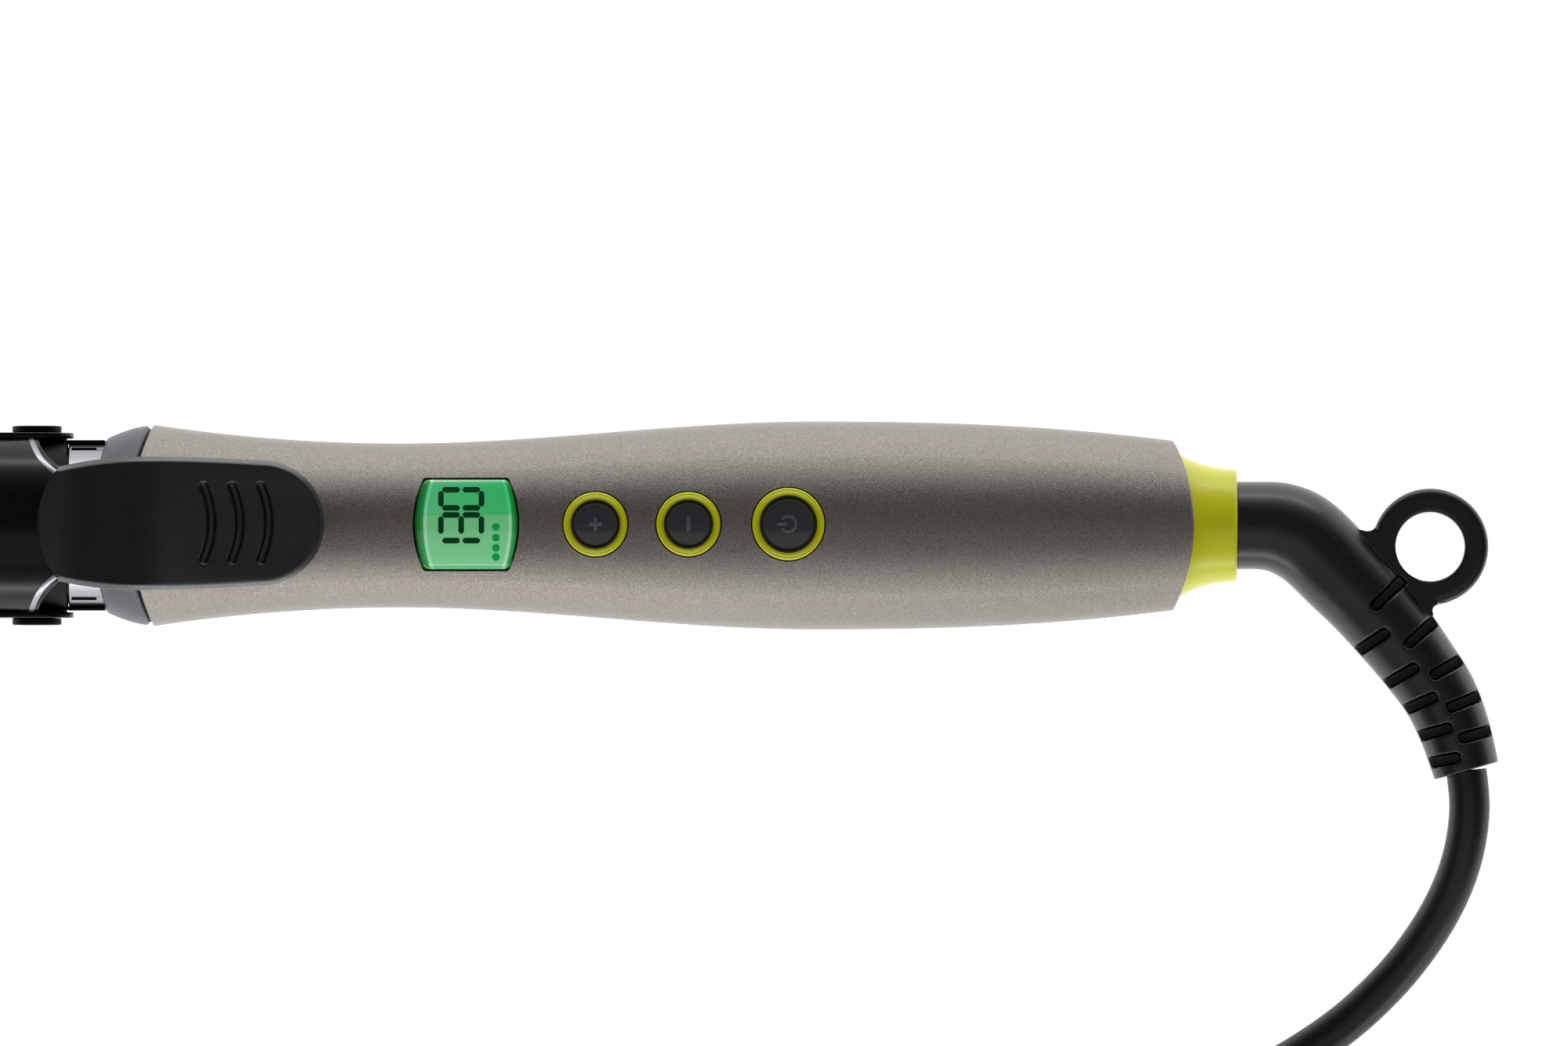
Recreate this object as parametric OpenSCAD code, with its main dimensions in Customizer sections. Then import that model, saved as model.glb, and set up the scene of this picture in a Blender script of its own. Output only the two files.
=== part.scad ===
// Digital curling iron with a sprung clamp, a fold-out stand and a swivelling cord.
// Origin: centre of the folded stand's foot, on the table.  +X towards the cord, +Z through the buttons.

/* [Barrel and clamp] */
// Diameter of the heated barrel
barrel_d = 25; // [24:0.5:25]
// Length of barrel in front of the clamp pivot
barrel_l = 143; // [120:1:180]
// Length of the cool tip in front of the barrel
tip_l = 15; // [12:1:20]
// Gap between the closed clamp and the barrel
clamp_gap = 0.3; // [0.3:0.05:0.6]
// Thickness of the clamp sheet
clamp_t = 1.0; // [0.8:0.1:1.2]
// Distance from the foot of the folded stand to the clamp pivot
pivot_x = 27; // [24:1:30]

/* [Handle] */
// Radius of the handle at its belly
belly_r = 16.6; // [16.2:0.1:17]
// Place of the belly behind the clamp pivot
belly_x = 124; // [118:1:130]
// Radius of the handle at its waist
waist_r = 13.1; // [13:0.1:13.5]
// Place of the waist behind the clamp pivot
waist_x = 58; // [54:1:62]
// Rear end of the handle shells behind the pivot
rear_x = 184.4; // [182:0.2:186]
// Wall of the handle shells
wall = 2.0; // [1.6:0.1:2.2]

/* [Controls] */
// Centre of the display
lcd_x = 68.5; // [66:0.2:70]
// Length of the display along the handle
lcd_l = 16.4; // [15:0.2:17]
// Width of the display across the handle
lcd_w = 14.3; // [13:0.1:15]
// Centre of the plus button
plus_x = 89.1; // [88:0.1:90]
// Centre of the minus button
minus_x = 103.9; // [103:0.1:105]
// Centre of the power button
power_x = 119.8; // [119:0.1:121]
// Radius of the plus and minus caps
small_cap_r = 3.5; // [3.3:0.05:3.7]
// Radius of the power cap
large_cap_r = 4.15; // [3.9:0.05:4.3]

/* [Swivel and cord] */
// Radius of the swivel neck at the rear collar
swivel_r = 7.0; // [6.8:0.1:7.2]
// Radius of the hang hole
hang_r = 5.5; // [5:0.1:5.8]
// Thickness of the hang ring
hang_t = 5.0; // [4:0.5:6]
// Diameter of the cord
cord_d = 6.5; // [6:0.1:6.6]
// Mean radius of the stored coil
coil_r = 36; // [34:0.5:38]

/* [Hidden] */

$fn = 48;
e = 0.01;
axis_z = belly_r;
barrel_r = barrel_d / 2;
black = "#141416";
taupe = "#6E6862";
lime = "#B5B800";
steel = "#B9BABD";
brass = "#C9A24B";

// ---- shared helpers ------------------------------------------------------------------------
// Everything except the cord is drawn about the clamp pivot: X along the axis, Z up.
module at_pivot() translate([pivot_x, 0, axis_z]) children();
// A body of revolution about X, from its (radius, x) outline.
module spun(outline) rotate([0, 90, 0]) rotate_extrude($fn = 96) polygon(outline);
module tube_x(x0, x1, r_out, r_in) translate([x0, 0, 0]) rotate([0, 90, 0]) difference() {
    cylinder(h = x1 - x0, r = r_out, $fn = 96);
    if (r_in > 0) translate([0, 0, -1]) cylinder(h = x1 - x0 + 2, r = r_in, $fn = 96);
}
module rod_x(x0, x1, y, z, r) translate([x0, y, z]) rotate([0, 90, 0]) cylinder(h = x1 - x0, r = r);
module rod_y(y0, y1, x, z, r) translate([x, y0, z]) rotate([-90, 0, 0]) cylinder(h = y1 - y0, r = r);
module block(x0, x1, y0, y1, z0, z1) translate([x0, y0, z0]) cube([x1 - x0, y1 - y0, z1 - z0]);
// An upright round cutter whose edge bows in plan: apex at x, bulging towards -X or +X.
module bow(apex, r, side) translate([apex - side * r, 0, -40]) cylinder(h = 80, r = r, $fn = 96);

function smooth(t) = let (u = min(1, max(0, t))) u * u * (3 - 2 * u);
// Outer radius of the handle at x
function handle_r(x) =
    x < waist_x ? waist_r + 2.9 * pow((waist_x - x) / 38.9, 2)
    : x < belly_x ? waist_r + (belly_r - waist_r) * smooth((x - waist_x) / (belly_x - waist_x))
    : belly_r - 3.1 * pow((x - belly_x) / 57.4, 2.4);
stations = [for (i = [0 : 34]) 14 + i * (rear_x - 14) / 34];

module handle_form(inset, x0, x1) spun(concat(
    [[0, x0]], [[handle_r(x0) - inset, x0]],
    [for (x = stations) if (x > x0 + 1 && x < x1 - 1) [handle_r(x) - inset, x]],
    [[handle_r(x1) - inset, x1], [0, x1]]));

// ---- handle shells -------------------------------------------------------------------------
screw_x = [44, 160];
screw_y = 6.2;
screw_hole_r = 1.1;
front_apex = 15.1;
neck_r = 13.55;
collar_spigot_r = 11.2;

module lcd_outline(grow) intersection() {
    square([lcd_l + 2 * grow, lcd_w + 2 * grow], center = true);
    translate([lcd_l / 2 + grow - 17, 0]) circle(r = 17, $fn = 96);
    translate([17 - lcd_l / 2 - grow, 0]) circle(r = 17, $fn = 96);
}

// Plan of the shells: both ends bow outwards
module shell_plan() intersection() {
    union() {
        translate([front_apex + 40, 0]) circle(r = 40, $fn = 96);
        translate([front_apex + 10, -20]) square([200, 40]);
    }
    union() {
        translate([rear_x - 31.3, 0]) circle(r = 31.3, $fn = 96);
        translate([rear_x - 210, -20]) square([200, 40]);
    }
}

module shell_blank() difference() {
    intersection() {
        handle_form(0, 14, rear_x);
        translate([0, 0, -20]) linear_extrude(40) shell_plan();
    }
    difference() {
        handle_form(wall, 22, rear_x + 1);
        // retaining rib for the rear collar
        tube_x(178, 179.6, 20, collar_spigot_r + 0.1);
        // rib that holds the swivel socket
        tube_x(168, 170, 20, 9);
    }
    tube_x(10, 22.5, neck_r + e, 0);
}

module screw_posts(r, z0, z1) intersection() {
    handle_form(0.5, 14, rear_x);
    for (x = screw_x, y = [-screw_y, screw_y]) translate([x, y, z0]) cylinder(h = z1 - z0, r = r);
}

// posts that carry the circuit board, each with a locating pin
module board_posts() intersection() {
    handle_form(0.5, 14, rear_x);
    for (x = board_hole_x, y = [-8, 8]) translate([x, y, -20]) {
        cylinder(h = 20 + board_z, r = 1.8);
        cylinder(h = 20 + board_z + board_t, r = 0.75);
    }
}

module handle_top_shell() at_pivot() color(taupe) difference() {
    union() {
        intersection() {
            shell_blank();
            block(0, 200, -20, 20, 0, 20);
        }
        screw_posts(2.3, 0, 20);
    }
    translate([lcd_x, 0, 5]) linear_extrude(12) lcd_outline(0.1);
    for (b = [[plus_x, 5.15], [minus_x, 5.15], [power_x, 5.8]])
        translate([b[0], 0, 5]) cylinder(h = 14, r = b[1]);
    for (x = screw_x, y = [-screw_y, screw_y])
        translate([x, y, -1]) cylinder(h = 9, r = screw_hole_r);
}

module handle_bottom_shell() at_pivot() color(taupe) difference() {
    union() {
        intersection() {
            shell_blank();
            block(0, 200, -20, 20, -20, 0);
        }
        screw_posts(2.9, -20, 0);
        board_posts();
    }
    for (x = screw_x, y = [-screw_y, screw_y]) translate([x, y, 0]) {
        translate([0, 0, -20]) cylinder(h = 21, r = 1.4);
        translate([0, 0, -20]) cylinder(h = 14, r = 2.4);
    }
}

module shell_screws() at_pivot() color(steel)
    for (x = screw_x, y = [-screw_y, screw_y]) translate([x, y, -6]) difference() {
        union() {
            cylinder(h = 12.5, r = screw_hole_r);
            translate([0, 0, -1.6]) cylinder(h = 1.6, r = 2.2);
        }
        translate([0, 0, -2]) cylinder(h = 1.2, r = 0.9, $fn = 6);
    }

// ---- front end of the handle ---------------------------------------------------------------
function collar_r(x) = 13.9 + 2.02 * sin(90 * min(1, max(0, (x - 11.2) / 7.4)));

module front_collar() at_pivot() color("#5E5F66") difference() {
    intersection() {
        spun(concat([[neck_r + e, 8]], [[13.9, 8]],
            [for (i = [0 : 7]) [collar_r(11.2 + i), 11.2 + i]],
            [[collar_r(19), 19], [neck_r + e, 19]]));
        bow(9.0, 46, -1);
    }
    // rear edge follows the front edge of the shells with a narrow gap
    bow(front_apex - 0.4, 40.4, -1);
}

module neck_sleeve() at_pivot() color(steel) difference() {
    union() {
        tube_x(5.1, 21, neck_r, barrel_r);
        tube_x(8.2, 8.8, 13.75, barrel_r);
    }
    for (y = [-12, 12]) block(5.6, 8.2, y - 0.25, y + 0.25, -14, 14);
}

stand_x = 1;
stand_z = -14.45;
stand_bore_r = 0.95;
stand_pin_r = 0.9;

module hinge_collar() at_pivot() color(black) difference() {
    union() {
        tube_x(-6, 5, 13.7, barrel_r);
        // knuckles that hold the stand's pin
        for (y = [-7.6, 4]) rod_y(y, y + 3.6, stand_x, stand_z, 1.9);
        for (y = [-7.6, 4]) block(stand_x - 1.9, stand_x + 1.9, y, y + 3.6, stand_z, -12.6);
    }
    tube_x(-7, 6, barrel_r, 0);
    rod_y(-20, 20, stand_x, stand_z, stand_pin_r);
    for (y = [-14, 10]) rod_y(y, y + 4, 0, 0, 1.5);
}

// pivot rivets: fixed in the hinge collar, the clamp's ears turn on them
ear_in = 13.85;
ear_out = 14.75;
ear_r = 5.9;
rivet_r = 2.0;

module clamp_rivets() at_pivot() color(black)
    for (s = [-1, 1]) rotate([0, 0, 90 - 90 * s]) {
        rod_y(12.55, 13.7, 0, 0, 1.5);
        rod_y(13.7, 15.0, 0, 0, rivet_r);
        rod_y(15.0, 15.9, 0, 0, 3.95);
    }

// ---- barrel and heater ---------------------------------------------------------------------
bore_r = barrel_r - 1;

module barrel_tube() at_pivot() color("#1B1B1E") tube_x(-barrel_l, 9, barrel_r, bore_r);

module barrel_tip() at_pivot() color(black) spun(concat(
    [[0, -barrel_l - tip_l]],
    [for (a = [0 : 15 : 90]) [barrel_r - 5 + 5 * sin(a), -barrel_l - tip_l + 5 - 5 * cos(a)]],
    [[barrel_r, -barrel_l], [bore_r, -barrel_l], [bore_r, -barrel_l + 8],
     [bore_r - 1.6, -barrel_l + 8], [bore_r - 1.6, -barrel_l - 6], [0, -barrel_l - 6]]));

lead_y = 2.2;
lead_r = 1.0;
heat_x0 = -barrel_l + 24;
heat_x1 = -38;

module heater_half(s) intersection() {
    tube_x(heat_x0, heat_x1, bore_r - 0.1, 0);
    rotate([90 - 90 * s, 0, 0]) block(heat_x0 - 1, heat_x1 + 1, -12, 12, 1.8, 12);
}
module heater_block_upper() at_pivot() color(steel) difference() {
    heater_half(1);
    rod_x(heat_x1 - 12, heat_x1 + 1, 0, 6, 1.5);
}
module heater_block_lower() at_pivot() color(steel) heater_half(-1);
module ptc_stack() at_pivot() color("#8A8378")
    for (i = [0 : 2]) translate([heat_x0 + 4 + i * 24, 0, 0]) block(0, 22, -7, 7, -1.3, 1.3);
module insulating_film() at_pivot() color("#C77B24") difference() {
    block(heat_x0 + 1, heat_x1 - 1, -8, 8, -1.8, 1.8);
    block(heat_x0, heat_x1, -7.4, 7.4, -1.4, 1.4);
}
module lead_support_ring() at_pivot() color("#D9D4C8") difference() {
    tube_x(-16, -13.5, bore_r - 0.1, 0);
    for (y = [-lead_y, lead_y]) rod_x(-17, -12, y, 0, lead_r + 0.2);
    rod_x(-17, -12, 0, 6, 1.5);
}
module thermistor() at_pivot() color("#B0481E") {
    rod_x(heat_x1 - 10, heat_x1 - 4, 0, 6, 1.4);
    for (y = [-0.55, 0.55]) {
        rod_x(heat_x1 - 4, 59.6, y, 6, 0.4);
        translate([59.2, y, board_z + board_t]) cylinder(h = 6.4 - board_z - board_t, r = 0.4);
    }
}
module thermal_fuse() at_pivot() color("#C9C2B0") {
    rod_x(24, 34, lead_y, 0, 2);
    rod_x(22, 24, lead_y, 0, lead_r);
    rod_x(34, 36, lead_y, 0, lead_r);
}
module heater_leads() at_pivot() color("#D8D8D8") {
    rod_x(heat_x1 - 7, 22, lead_y, 0, lead_r);
    rod_x(36, 60, lead_y, 0, lead_r);
    rod_x(heat_x1 - 7, 60, -lead_y, 0, lead_r);
    for (y = [-lead_y, lead_y]) translate([59, y, 0]) cylinder(h = board_z, r = lead_r);
}
module supply_leads() at_pivot() color("#D8D8D8") for (y = [-1.8, 1.8]) {
    rod_x(146, 164, y, 0.8, 0.8);
    translate([146.8, y, 0.8]) cylinder(h = board_z - 0.8, r = 0.8);
}

// ---- electronics ---------------------------------------------------------------------------
board_z = 2;
board_t = 1.6;
board_hole_x = [72, 108, 146];

module circuit_board() at_pivot() color("#1E5B36") difference() {
    block(57, 150, -10, 10, board_z, board_z + board_t);
    for (x = board_hole_x, y = [-8, 8]) translate([x, y, 0]) cylinder(h = 6, r = 0.8);
}
module switch_at(x) {
    translate([x - 3, -3, board_z + board_t]) cube([6, 6, 3.4]);
    translate([x, 0, board_z + board_t + 3.4]) cylinder(h = 1.2, r = 1.6);
}
module tact_switches() at_pivot() color("#2A2A2C") for (x = [plus_x, minus_x, power_x]) switch_at(x);
module film_capacitor() at_pivot() color("#C9A227") block(112, 130, -4, 4, -9, board_z);
module triac() at_pivot() color("#222222") {
    block(86, 96, -4.8, 4.8, -3, board_z);
    block(96, 101, -4.8, 4.8, -3, -1.7);
}
lcd_base = board_z + board_t;
module lcd_backlight() at_pivot() color("#D8F2DC") block(60.6, 76.2, -7, 7, lcd_base, lcd_base + 3);
module lcd_panel() at_pivot() color("#6EBE82") block(61, 75.8, -6.8, 6.8, lcd_base + 3, lcd_base + 5);
module lcd_window() at_pivot() color("#3DB060") difference() {
    intersection() {
        handle_form(0.1, 40, 100);
        translate([lcd_x, 0, 2]) linear_extrude(14) lcd_outline(0);
    }
    handle_form(1.7, 30, 110);
}

// ---- buttons -------------------------------------------------------------------------------
button_play = 0.3;
function seat_z(x) = handle_r(x) - 0.1;

module button_ring(x, r_out, cap_r) translate([x, 0, seat_z(x)]) rotate_extrude($fn = 96) polygon([
    [cap_r + button_play, -3.2], [r_out, -3.2], [r_out, 0.1], [r_out - 0.35, 0.5],
    [cap_r + 0.5, 0.5], [cap_r + button_play, 0.1]]);

module plus_ring() at_pivot() color(lime) button_ring(plus_x, 5.1, small_cap_r);
module minus_ring() at_pivot() color(lime) button_ring(minus_x, 5.1, small_cap_r);
module power_ring() at_pivot() color(lime) button_ring(power_x, 5.75, large_cap_r);

button_travel = 0.5;
switch_top = board_z + board_t + 4.6;
module cap_at(x, r) {
    top = seat_z(x) + 0.3;
    translate([x, 0, top - 2.6]) rotate_extrude($fn = 96) polygon(concat([[0, 0], [r, 0]],
        [for (a = [0 : 15 : 90]) [r - 0.6 + 0.6 * cos(a), 2.0 + 0.6 * sin(a)]], [[0, 2.6]]));
    translate([x, 0, switch_top + button_travel + 0.1])
        cylinder(h = top - 2.6 - switch_top - button_travel - 0.1, r = 1.5);
    // collar that keeps the cap behind its ring
    translate([x, 0, seat_z(x) - 4.4]) cylinder(h = 1.1, r = r + 0.6);
    translate([x, 0, seat_z(x) - 3.4]) cylinder(h = 1.2, r = r - 0.4);
}
module plus_button() at_pivot() color(black) {
    cap_at(plus_x, small_cap_r);
    for (a = [0, 90]) translate([plus_x, 0, seat_z(plus_x) + 0.3]) rotate([0, 0, a])
        translate([-1, -0.3, -e]) cube([2, 0.6, 0.15]);
}
module minus_button() at_pivot() color(black) {
    cap_at(minus_x, small_cap_r);
    translate([minus_x - 0.3, -1.1, seat_z(minus_x) + 0.3 - e]) cube([0.6, 2.2, 0.15]);
}
module power_button() at_pivot() color(black) {
    cap_at(power_x, large_cap_r);
    translate([power_x, 0, seat_z(power_x) + 0.3 - e]) difference() {
        cylinder(h = 0.15, r = 1.3);
        translate([0, 0, -1]) cylinder(h = 3, r = 0.9);
    }
}

// ---- clamp ---------------------------------------------------------------------------------
clamp_x0 = -barrel_l + 8;
clamp_in = barrel_r + clamp_gap;
clamp_lift = 0.55;

// Section of the spoon at x: inner radius, lift of its centre, and half of its wrap angle
function flare(x) = smooth((x + 42) / 34);
function spoon_r(x) = clamp_in + (ear_in - clamp_in) * flare(x);
function spoon_lift(x) = clamp_lift * flare(x) + 0.12 * max(0, x);
function spoon_half(x) =
    let (d = x - clamp_x0, nose = 12)
    d < nose ? 6 + 78 * sqrt(1 - pow(1 - d / nose, 2)) : 84 + 8 * flare(x);
spoon_x = concat([for (d = [0, 0.6, 1.8, 3.6, 6, 9, 12, 20, 56]) clamp_x0 + d],
    [for (x = [-42 : 6 : 0]) x], [for (x = [1 : 4]) x]);
arc_steps = 20;

// One point of the sheet's section at x, at a radius and at step i of its arc
function spoon_point(x, r, i) =
    let (a = spoon_half(x) * (2 * i / arc_steps - 1))
    [x, r * sin(a), spoon_lift(x) + r * cos(a)];
function spoon_ring(x) = concat(
    [for (i = [0 : arc_steps]) spoon_point(x, spoon_r(x) + clamp_t, i)],
    [for (i = [arc_steps : -1 : 0]) spoon_point(x, spoon_r(x), i)]);

// Closed skin over a list of rings that all have n points
module loft(rings) {
    n = len(rings[0]);
    m = len(rings);
    points = [for (r = rings) for (p = r) p];
    sides = [for (j = [0 : m - 2]) for (i = [0 : n - 1])
        let (a = j * n + i, b = j * n + (i + 1) % n) each [[a, b + n, b], [a, a + n, b + n]]];
    ends = [[for (i = [0 : n - 1]) i], [for (i = [n - 1 : -1 : 0]) (m - 1) * n + i]];
    polyhedron(points, concat(sides, ends));
}
// The ends of a bent strip are capped by quads, so that the cap stays inside the strip
module strip_loft(rings) {
    n = len(rings[0]);
    m = len(rings);
    points = [for (r = rings) for (p = r) p];
    sides = [for (j = [0 : m - 2]) for (i = [0 : n - 1])
        let (a = j * n + i, b = j * n + (i + 1) % n) each [[a, b + n, a + n], [a, b, b + n]]];
    caps = [for (i = [0 : n / 2 - 2]) let (a = i, b = i + 1, c = n - 2 - i, d = n - 1 - i, t = (m - 1) * n)
        each [[a, c, b], [a, d, c], [t + a, t + b, t + c], [t + a, t + c, t + d]]];
    polyhedron(points, concat(sides, caps));
}

// Underside of the lever, and of the tongue that carries it
function lever_z(x) = 15.5 + 7.4 * smooth((x - 1) / 22) + 2.0 * max(0, (x - 22) / 24);
tongue_x = [for (x = [3 : 1.5 : 10.5]) x];
tongue_t = 0.8;

module tongue() rotate([90, 0, 0]) translate([0, 0, -5]) linear_extrude(10) polygon(concat(
    [for (x = tongue_x) [x, lever_z(x)]],
    [for (i = [len(tongue_x) - 1 : -1 : 0]) [tongue_x[i], lever_z(tongue_x[i]) - tongue_t]]));

module clamp_plate() at_pivot() color("#1B1B1E") difference() {
    union() {
        difference() {
            strip_loft([for (x = spoon_x) spoon_ring(x)]);
            // hollow cuts between the ears and the lever
            for (s = [-1, 1]) translate([8.6, 16.4 * s, -5]) cylinder(h = 30, r = 8.83, $fn = 96);
        }
        tongue();
        for (y = [-ear_out, ear_in]) {
            rod_y(y, y + ear_out - ear_in, 0, 0, ear_r);
            block(-12, 0, y, y + ear_out - ear_in, -2, 5.5);
        }
    }
    rod_y(-20, 20, 0, 0, rivet_r + 0.05);
    for (x = lever_screw_x) translate([x, 0, 10]) cylinder(h = 20, r = 1.0);
}

lever_screw_x = [5.2, 8.8];
module lever_screws() at_pivot() color(steel) for (x = lever_screw_x) translate([x, 0, lever_z(x)]) {
    translate([0, 0, -tongue_t - 0.1]) cylinder(h = 2.6, r = 1.0);
    translate([0, 0, 0.1 - tongue_t]) cylinder(h = 0.5, r = 1.4);
}

lever_t = 3.0;
lever_steps = [for (x = [0 : 2 : 46]) x];
// Half width of the lever in plan, from its bowed front edge to its round end
function lever_half(x) =
    x < 3.7 ? sqrt(max(0, 185 - pow(14 - x, 2)))
    : x < 36 ? 10.6 - 1.5 * pow((17 - x) / 13.3, 2) * (x < 17 ? 1 : 0.22)
    : 9.9 * sqrt(max(0, 1 - pow((x - 36) / 10.1, 2)));
lever_plan_x = [0.45, 1, 2, 3, 3.7, 6, 10, 14, 17, 21, 25, 30, 36, 38.5, 41, 43, 44.5, 45.5, 46];
lever_edge = [for (x = lever_plan_x) [x, lever_half(x)]];

module thumb_lever() at_pivot() color(black) difference() {
    intersection() {
        translate([0, 0, 10]) linear_extrude(25) polygon(concat(
            lever_edge, [for (i = [len(lever_edge) - 1 : -1 : 0]) [lever_edge[i][0], -lever_edge[i][1]]]));
        rotate([90, 0, 0]) translate([0, 0, -15]) linear_extrude(30) polygon(concat(
            [for (x = lever_steps) [x, lever_z(x) + e]],
            [for (i = [len(lever_steps) - 1 : -1 : 0]) [lever_steps[i], lever_z(lever_steps[i]) + lever_t]]));
    }
    // three thumb grooves that bow towards the cord
    for (x = [28.2, 32.7, 37.3]) translate([x - 14, 0, lever_z(x) + lever_t - 0.5]) intersection() {
        difference() {
            cylinder(h = 3, r = 14.5, $fn = 96);
            translate([0, 0, -1]) cylinder(h = 5, r = 13.4, $fn = 96);
        }
        translate([5, -6.2, -1]) cube([12, 12.4, 5]);
    }
    // round seats for the screws' heads
    for (x = lever_screw_x) translate([x, 0, 10]) cylinder(h = lever_z(x) - 10.18, r = 1.42);
    for (x = lever_screw_x) translate([x, 0, 10]) cylinder(h = lever_z(x) - 8.3, r = 1.0);
}

// bent leaf spring: its lower leaf lies on the front collar, the upper one reaches the lever's underside
module clamp_spring() at_pivot() color(steel) rotate([90, 0, 0]) translate([0, 0, -2.5]) linear_extrude(5)
    polygon([[14.9, 15.2], [14.9, 15.6], [12.3, 15.6], [12.05, 15.85], [14.9, 20.05], [14.55, 20.25],
        [11.55, 15.95], [11.55, 15.5], [11.9, 15.2]]);

// ---- stand ---------------------------------------------------------------------------------
foot_x = -pivot_x;
foot_l = 8;
leg_t = 1.1;

module stand_leg() at_pivot() color(black) difference() {
    union() {
        for (y = [-12, 8]) {
            block(foot_x - 4, stand_x, y, y + 4, stand_z - 0.55, stand_z + 0.55);
            rod_y(y, y + 4, stand_x, stand_z, 1.9);
        }
        block(foot_x - foot_l / 2, foot_x + foot_l / 2, -12, 12, -axis_z, stand_z + 0.55);
    }
    rod_y(-20, 20, stand_x, stand_z, stand_bore_r);
}
module stand_pin() at_pivot() color(steel) rod_y(-12.4, 12.4, stand_x, stand_z, stand_pin_r);

// ---- rear collar and swivel ----------------------------------------------------------------
function rear_collar_r(x) = 9.0 + 2.2 * pow((190.9 - x) / 8.4, 2);
socket_r = swivel_r + 0.06;
flange_r = 8.6;

module rear_collar() at_pivot() color(lime) difference() {
    spun(concat([[0, 176]], [[11.6, 176], [11.6, 177.7], [collar_spigot_r, 177.7]],
        [for (i = [0 : 9]) [rear_collar_r(182.5 + i * 0.93), 182.5 + i * 0.93]],
        [[8.9, 191.2], [8.6, 191.3], [0, 191.3]]));
    tube_x(170, 200, socket_r, 0);
    tube_x(170, 183.1, flange_r + 0.06, 0);
}
module swivel_socket() at_pivot() color("#E8E6E0") difference() {
    tube_x(158 + 6, 175.8, 9, 0);
    tube_x(166, 180, 6.4, 0);
}
module swivel_contacts() at_pivot() color(brass) for (x = [168, 172])
    difference() {
        tube_x(x, x + 1.6, 6.4, 5.25);
        block(x - 1, x + 3, -2, 2, 0, 10);
    }
module slip_rings() at_pivot() color(brass) for (x = [167.8, 171.8]) tube_x(x, x + 2, 5.2, 4.2);

elbow_path = [[191, 0], [194.5, 0], [197.9, -0.3], [201, -1.45], [203.9, -3.6], [207.9, -7.65],
    [212.1, -11.95], [216.9, -17.65],
    [220.5, -22.4], [223.6, -27], [226, -32.6], [227.9, -39.1]];
elbow_radii = [7, 7, 7.2, 7.3, 7.15, 7, 6.8, 6.5, 6.2, 6.0, 5.7, 5.3];
elbow_sides = 24;

// Point and direction on a smooth curve through a list of points
function mid(p, i, t) =
    let (n = len(p) - 1, a = p[max(0, i - 1)], b = p[i], c = p[min(n, i + 1)], d = p[min(n, i + 2)])
    0.5 * (2 * b + (c - a) * t + (2 * a - 5 * b + 4 * c - d) * t * t + (3 * b - a - 3 * c + d) * t * t * t);
function refine(p, k) = concat(
    [for (i = [0 : len(p) - 2]) for (j = [0 : k - 1]) mid(p, i, j / k)],
    [p[len(p) - 1]]);
function unit(v) = v / norm(v);
function heading(p, i) = unit(p[min(len(p) - 1, i + 1)] - p[max(0, i - 1)]);
function across(d) = unit([-d[1], d[0], 0]);
function circle_ring(c, d, r, n) = let (u = across(d), w = cross(d, u))
    [for (k = [0 : n - 1]) c + r * (cos(360 * k / n) * u + sin(360 * k / n) * w)];

module sweep(path, radii, n)
    loft([for (i = [0 : len(path) - 1]) circle_ring(path[i], heading(path, i), radii[i], n)]);

ring_c = [222.1, -3.4];
ring_r = 9.3;
slot_w = 1.9;
// Half of the solid middle that stays between a slot in the top and the same slot below
slot_floor = 1.3;
// Each slot: mouth on one side of the elbow, round inner end, in plan
slots = [
    [[210.5, -20.15], [214.7, -17.3]], [[215.4, -25.2], [219.4, -22.8]], [[218.2, -29.4], [222.4, -27.5]],
    [[220.4, -33.6], [224.8, -32.4]], [[221.8, -37.9], [226.1, -37.1]], [[216.9, -9.4], [213.4, -12.8]],
    [[222.1, -15.8], [218.75, -18.8]], [[226.8, -21.5], [222.8, -23.8]], [[229.8, -27.2], [225.4, -29]],
    [[231.6, -32.7], [227.3, -33.9]]];

// One slot's plan: straight from its mouth, with a round inner end
module slot_plan(s) translate(s[1]) rotate(atan2(s[0][1] - s[1][1], s[0][0] - s[1][0])) {
    circle(d = slot_w, $fn = 24);
    translate([0, -slot_w / 2]) square([norm(s[1] - s[0]) + 1, slot_w]);
}
module swivel_elbow() at_pivot() color(black) difference() {
    union() {
        tube_x(176, 191.2, swivel_r, 0);
        tube_x(181, 183, flange_r, 0);
        tube_x(166.6, 176, 4.2, 0);
        sweep(refine([for (p = elbow_path) [p[0], p[1], 0]], 3), refine(elbow_radii, 3), elbow_sides);
        translate([ring_c[0], ring_c[1], -hang_t / 2]) cylinder(h = hang_t, r = ring_r);
        // web that ties the hang ring to the elbow, with a small fillet at each end
        translate([ring_c[0], ring_c[1], -hang_t / 2]) rotate([0, 0, -51]) translate([0, -6.35, 0])
            linear_extrude(hang_t) polygon([[-10, -2.2], [-9.6, -0.95], [-8.9, -0.4], [-8.35, 0],
                [-8.0, 0.5], [-7.85, 1], [-7.95, 1.52], [7.95, 1.52], [7.82, 0.83], [8.09, 0.29],
                [8.8, 0], [8.8, -2]]);
    }
    translate([ring_c[0], ring_c[1], -10]) cylinder(h = 20, r = hang_r);
    for (s = slots) {
        translate([0, 0, slot_floor]) linear_extrude(10) slot_plan(s);
        translate([0, 0, -slot_floor - 10]) linear_extrude(10) slot_plan(s);
    }
}

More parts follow.
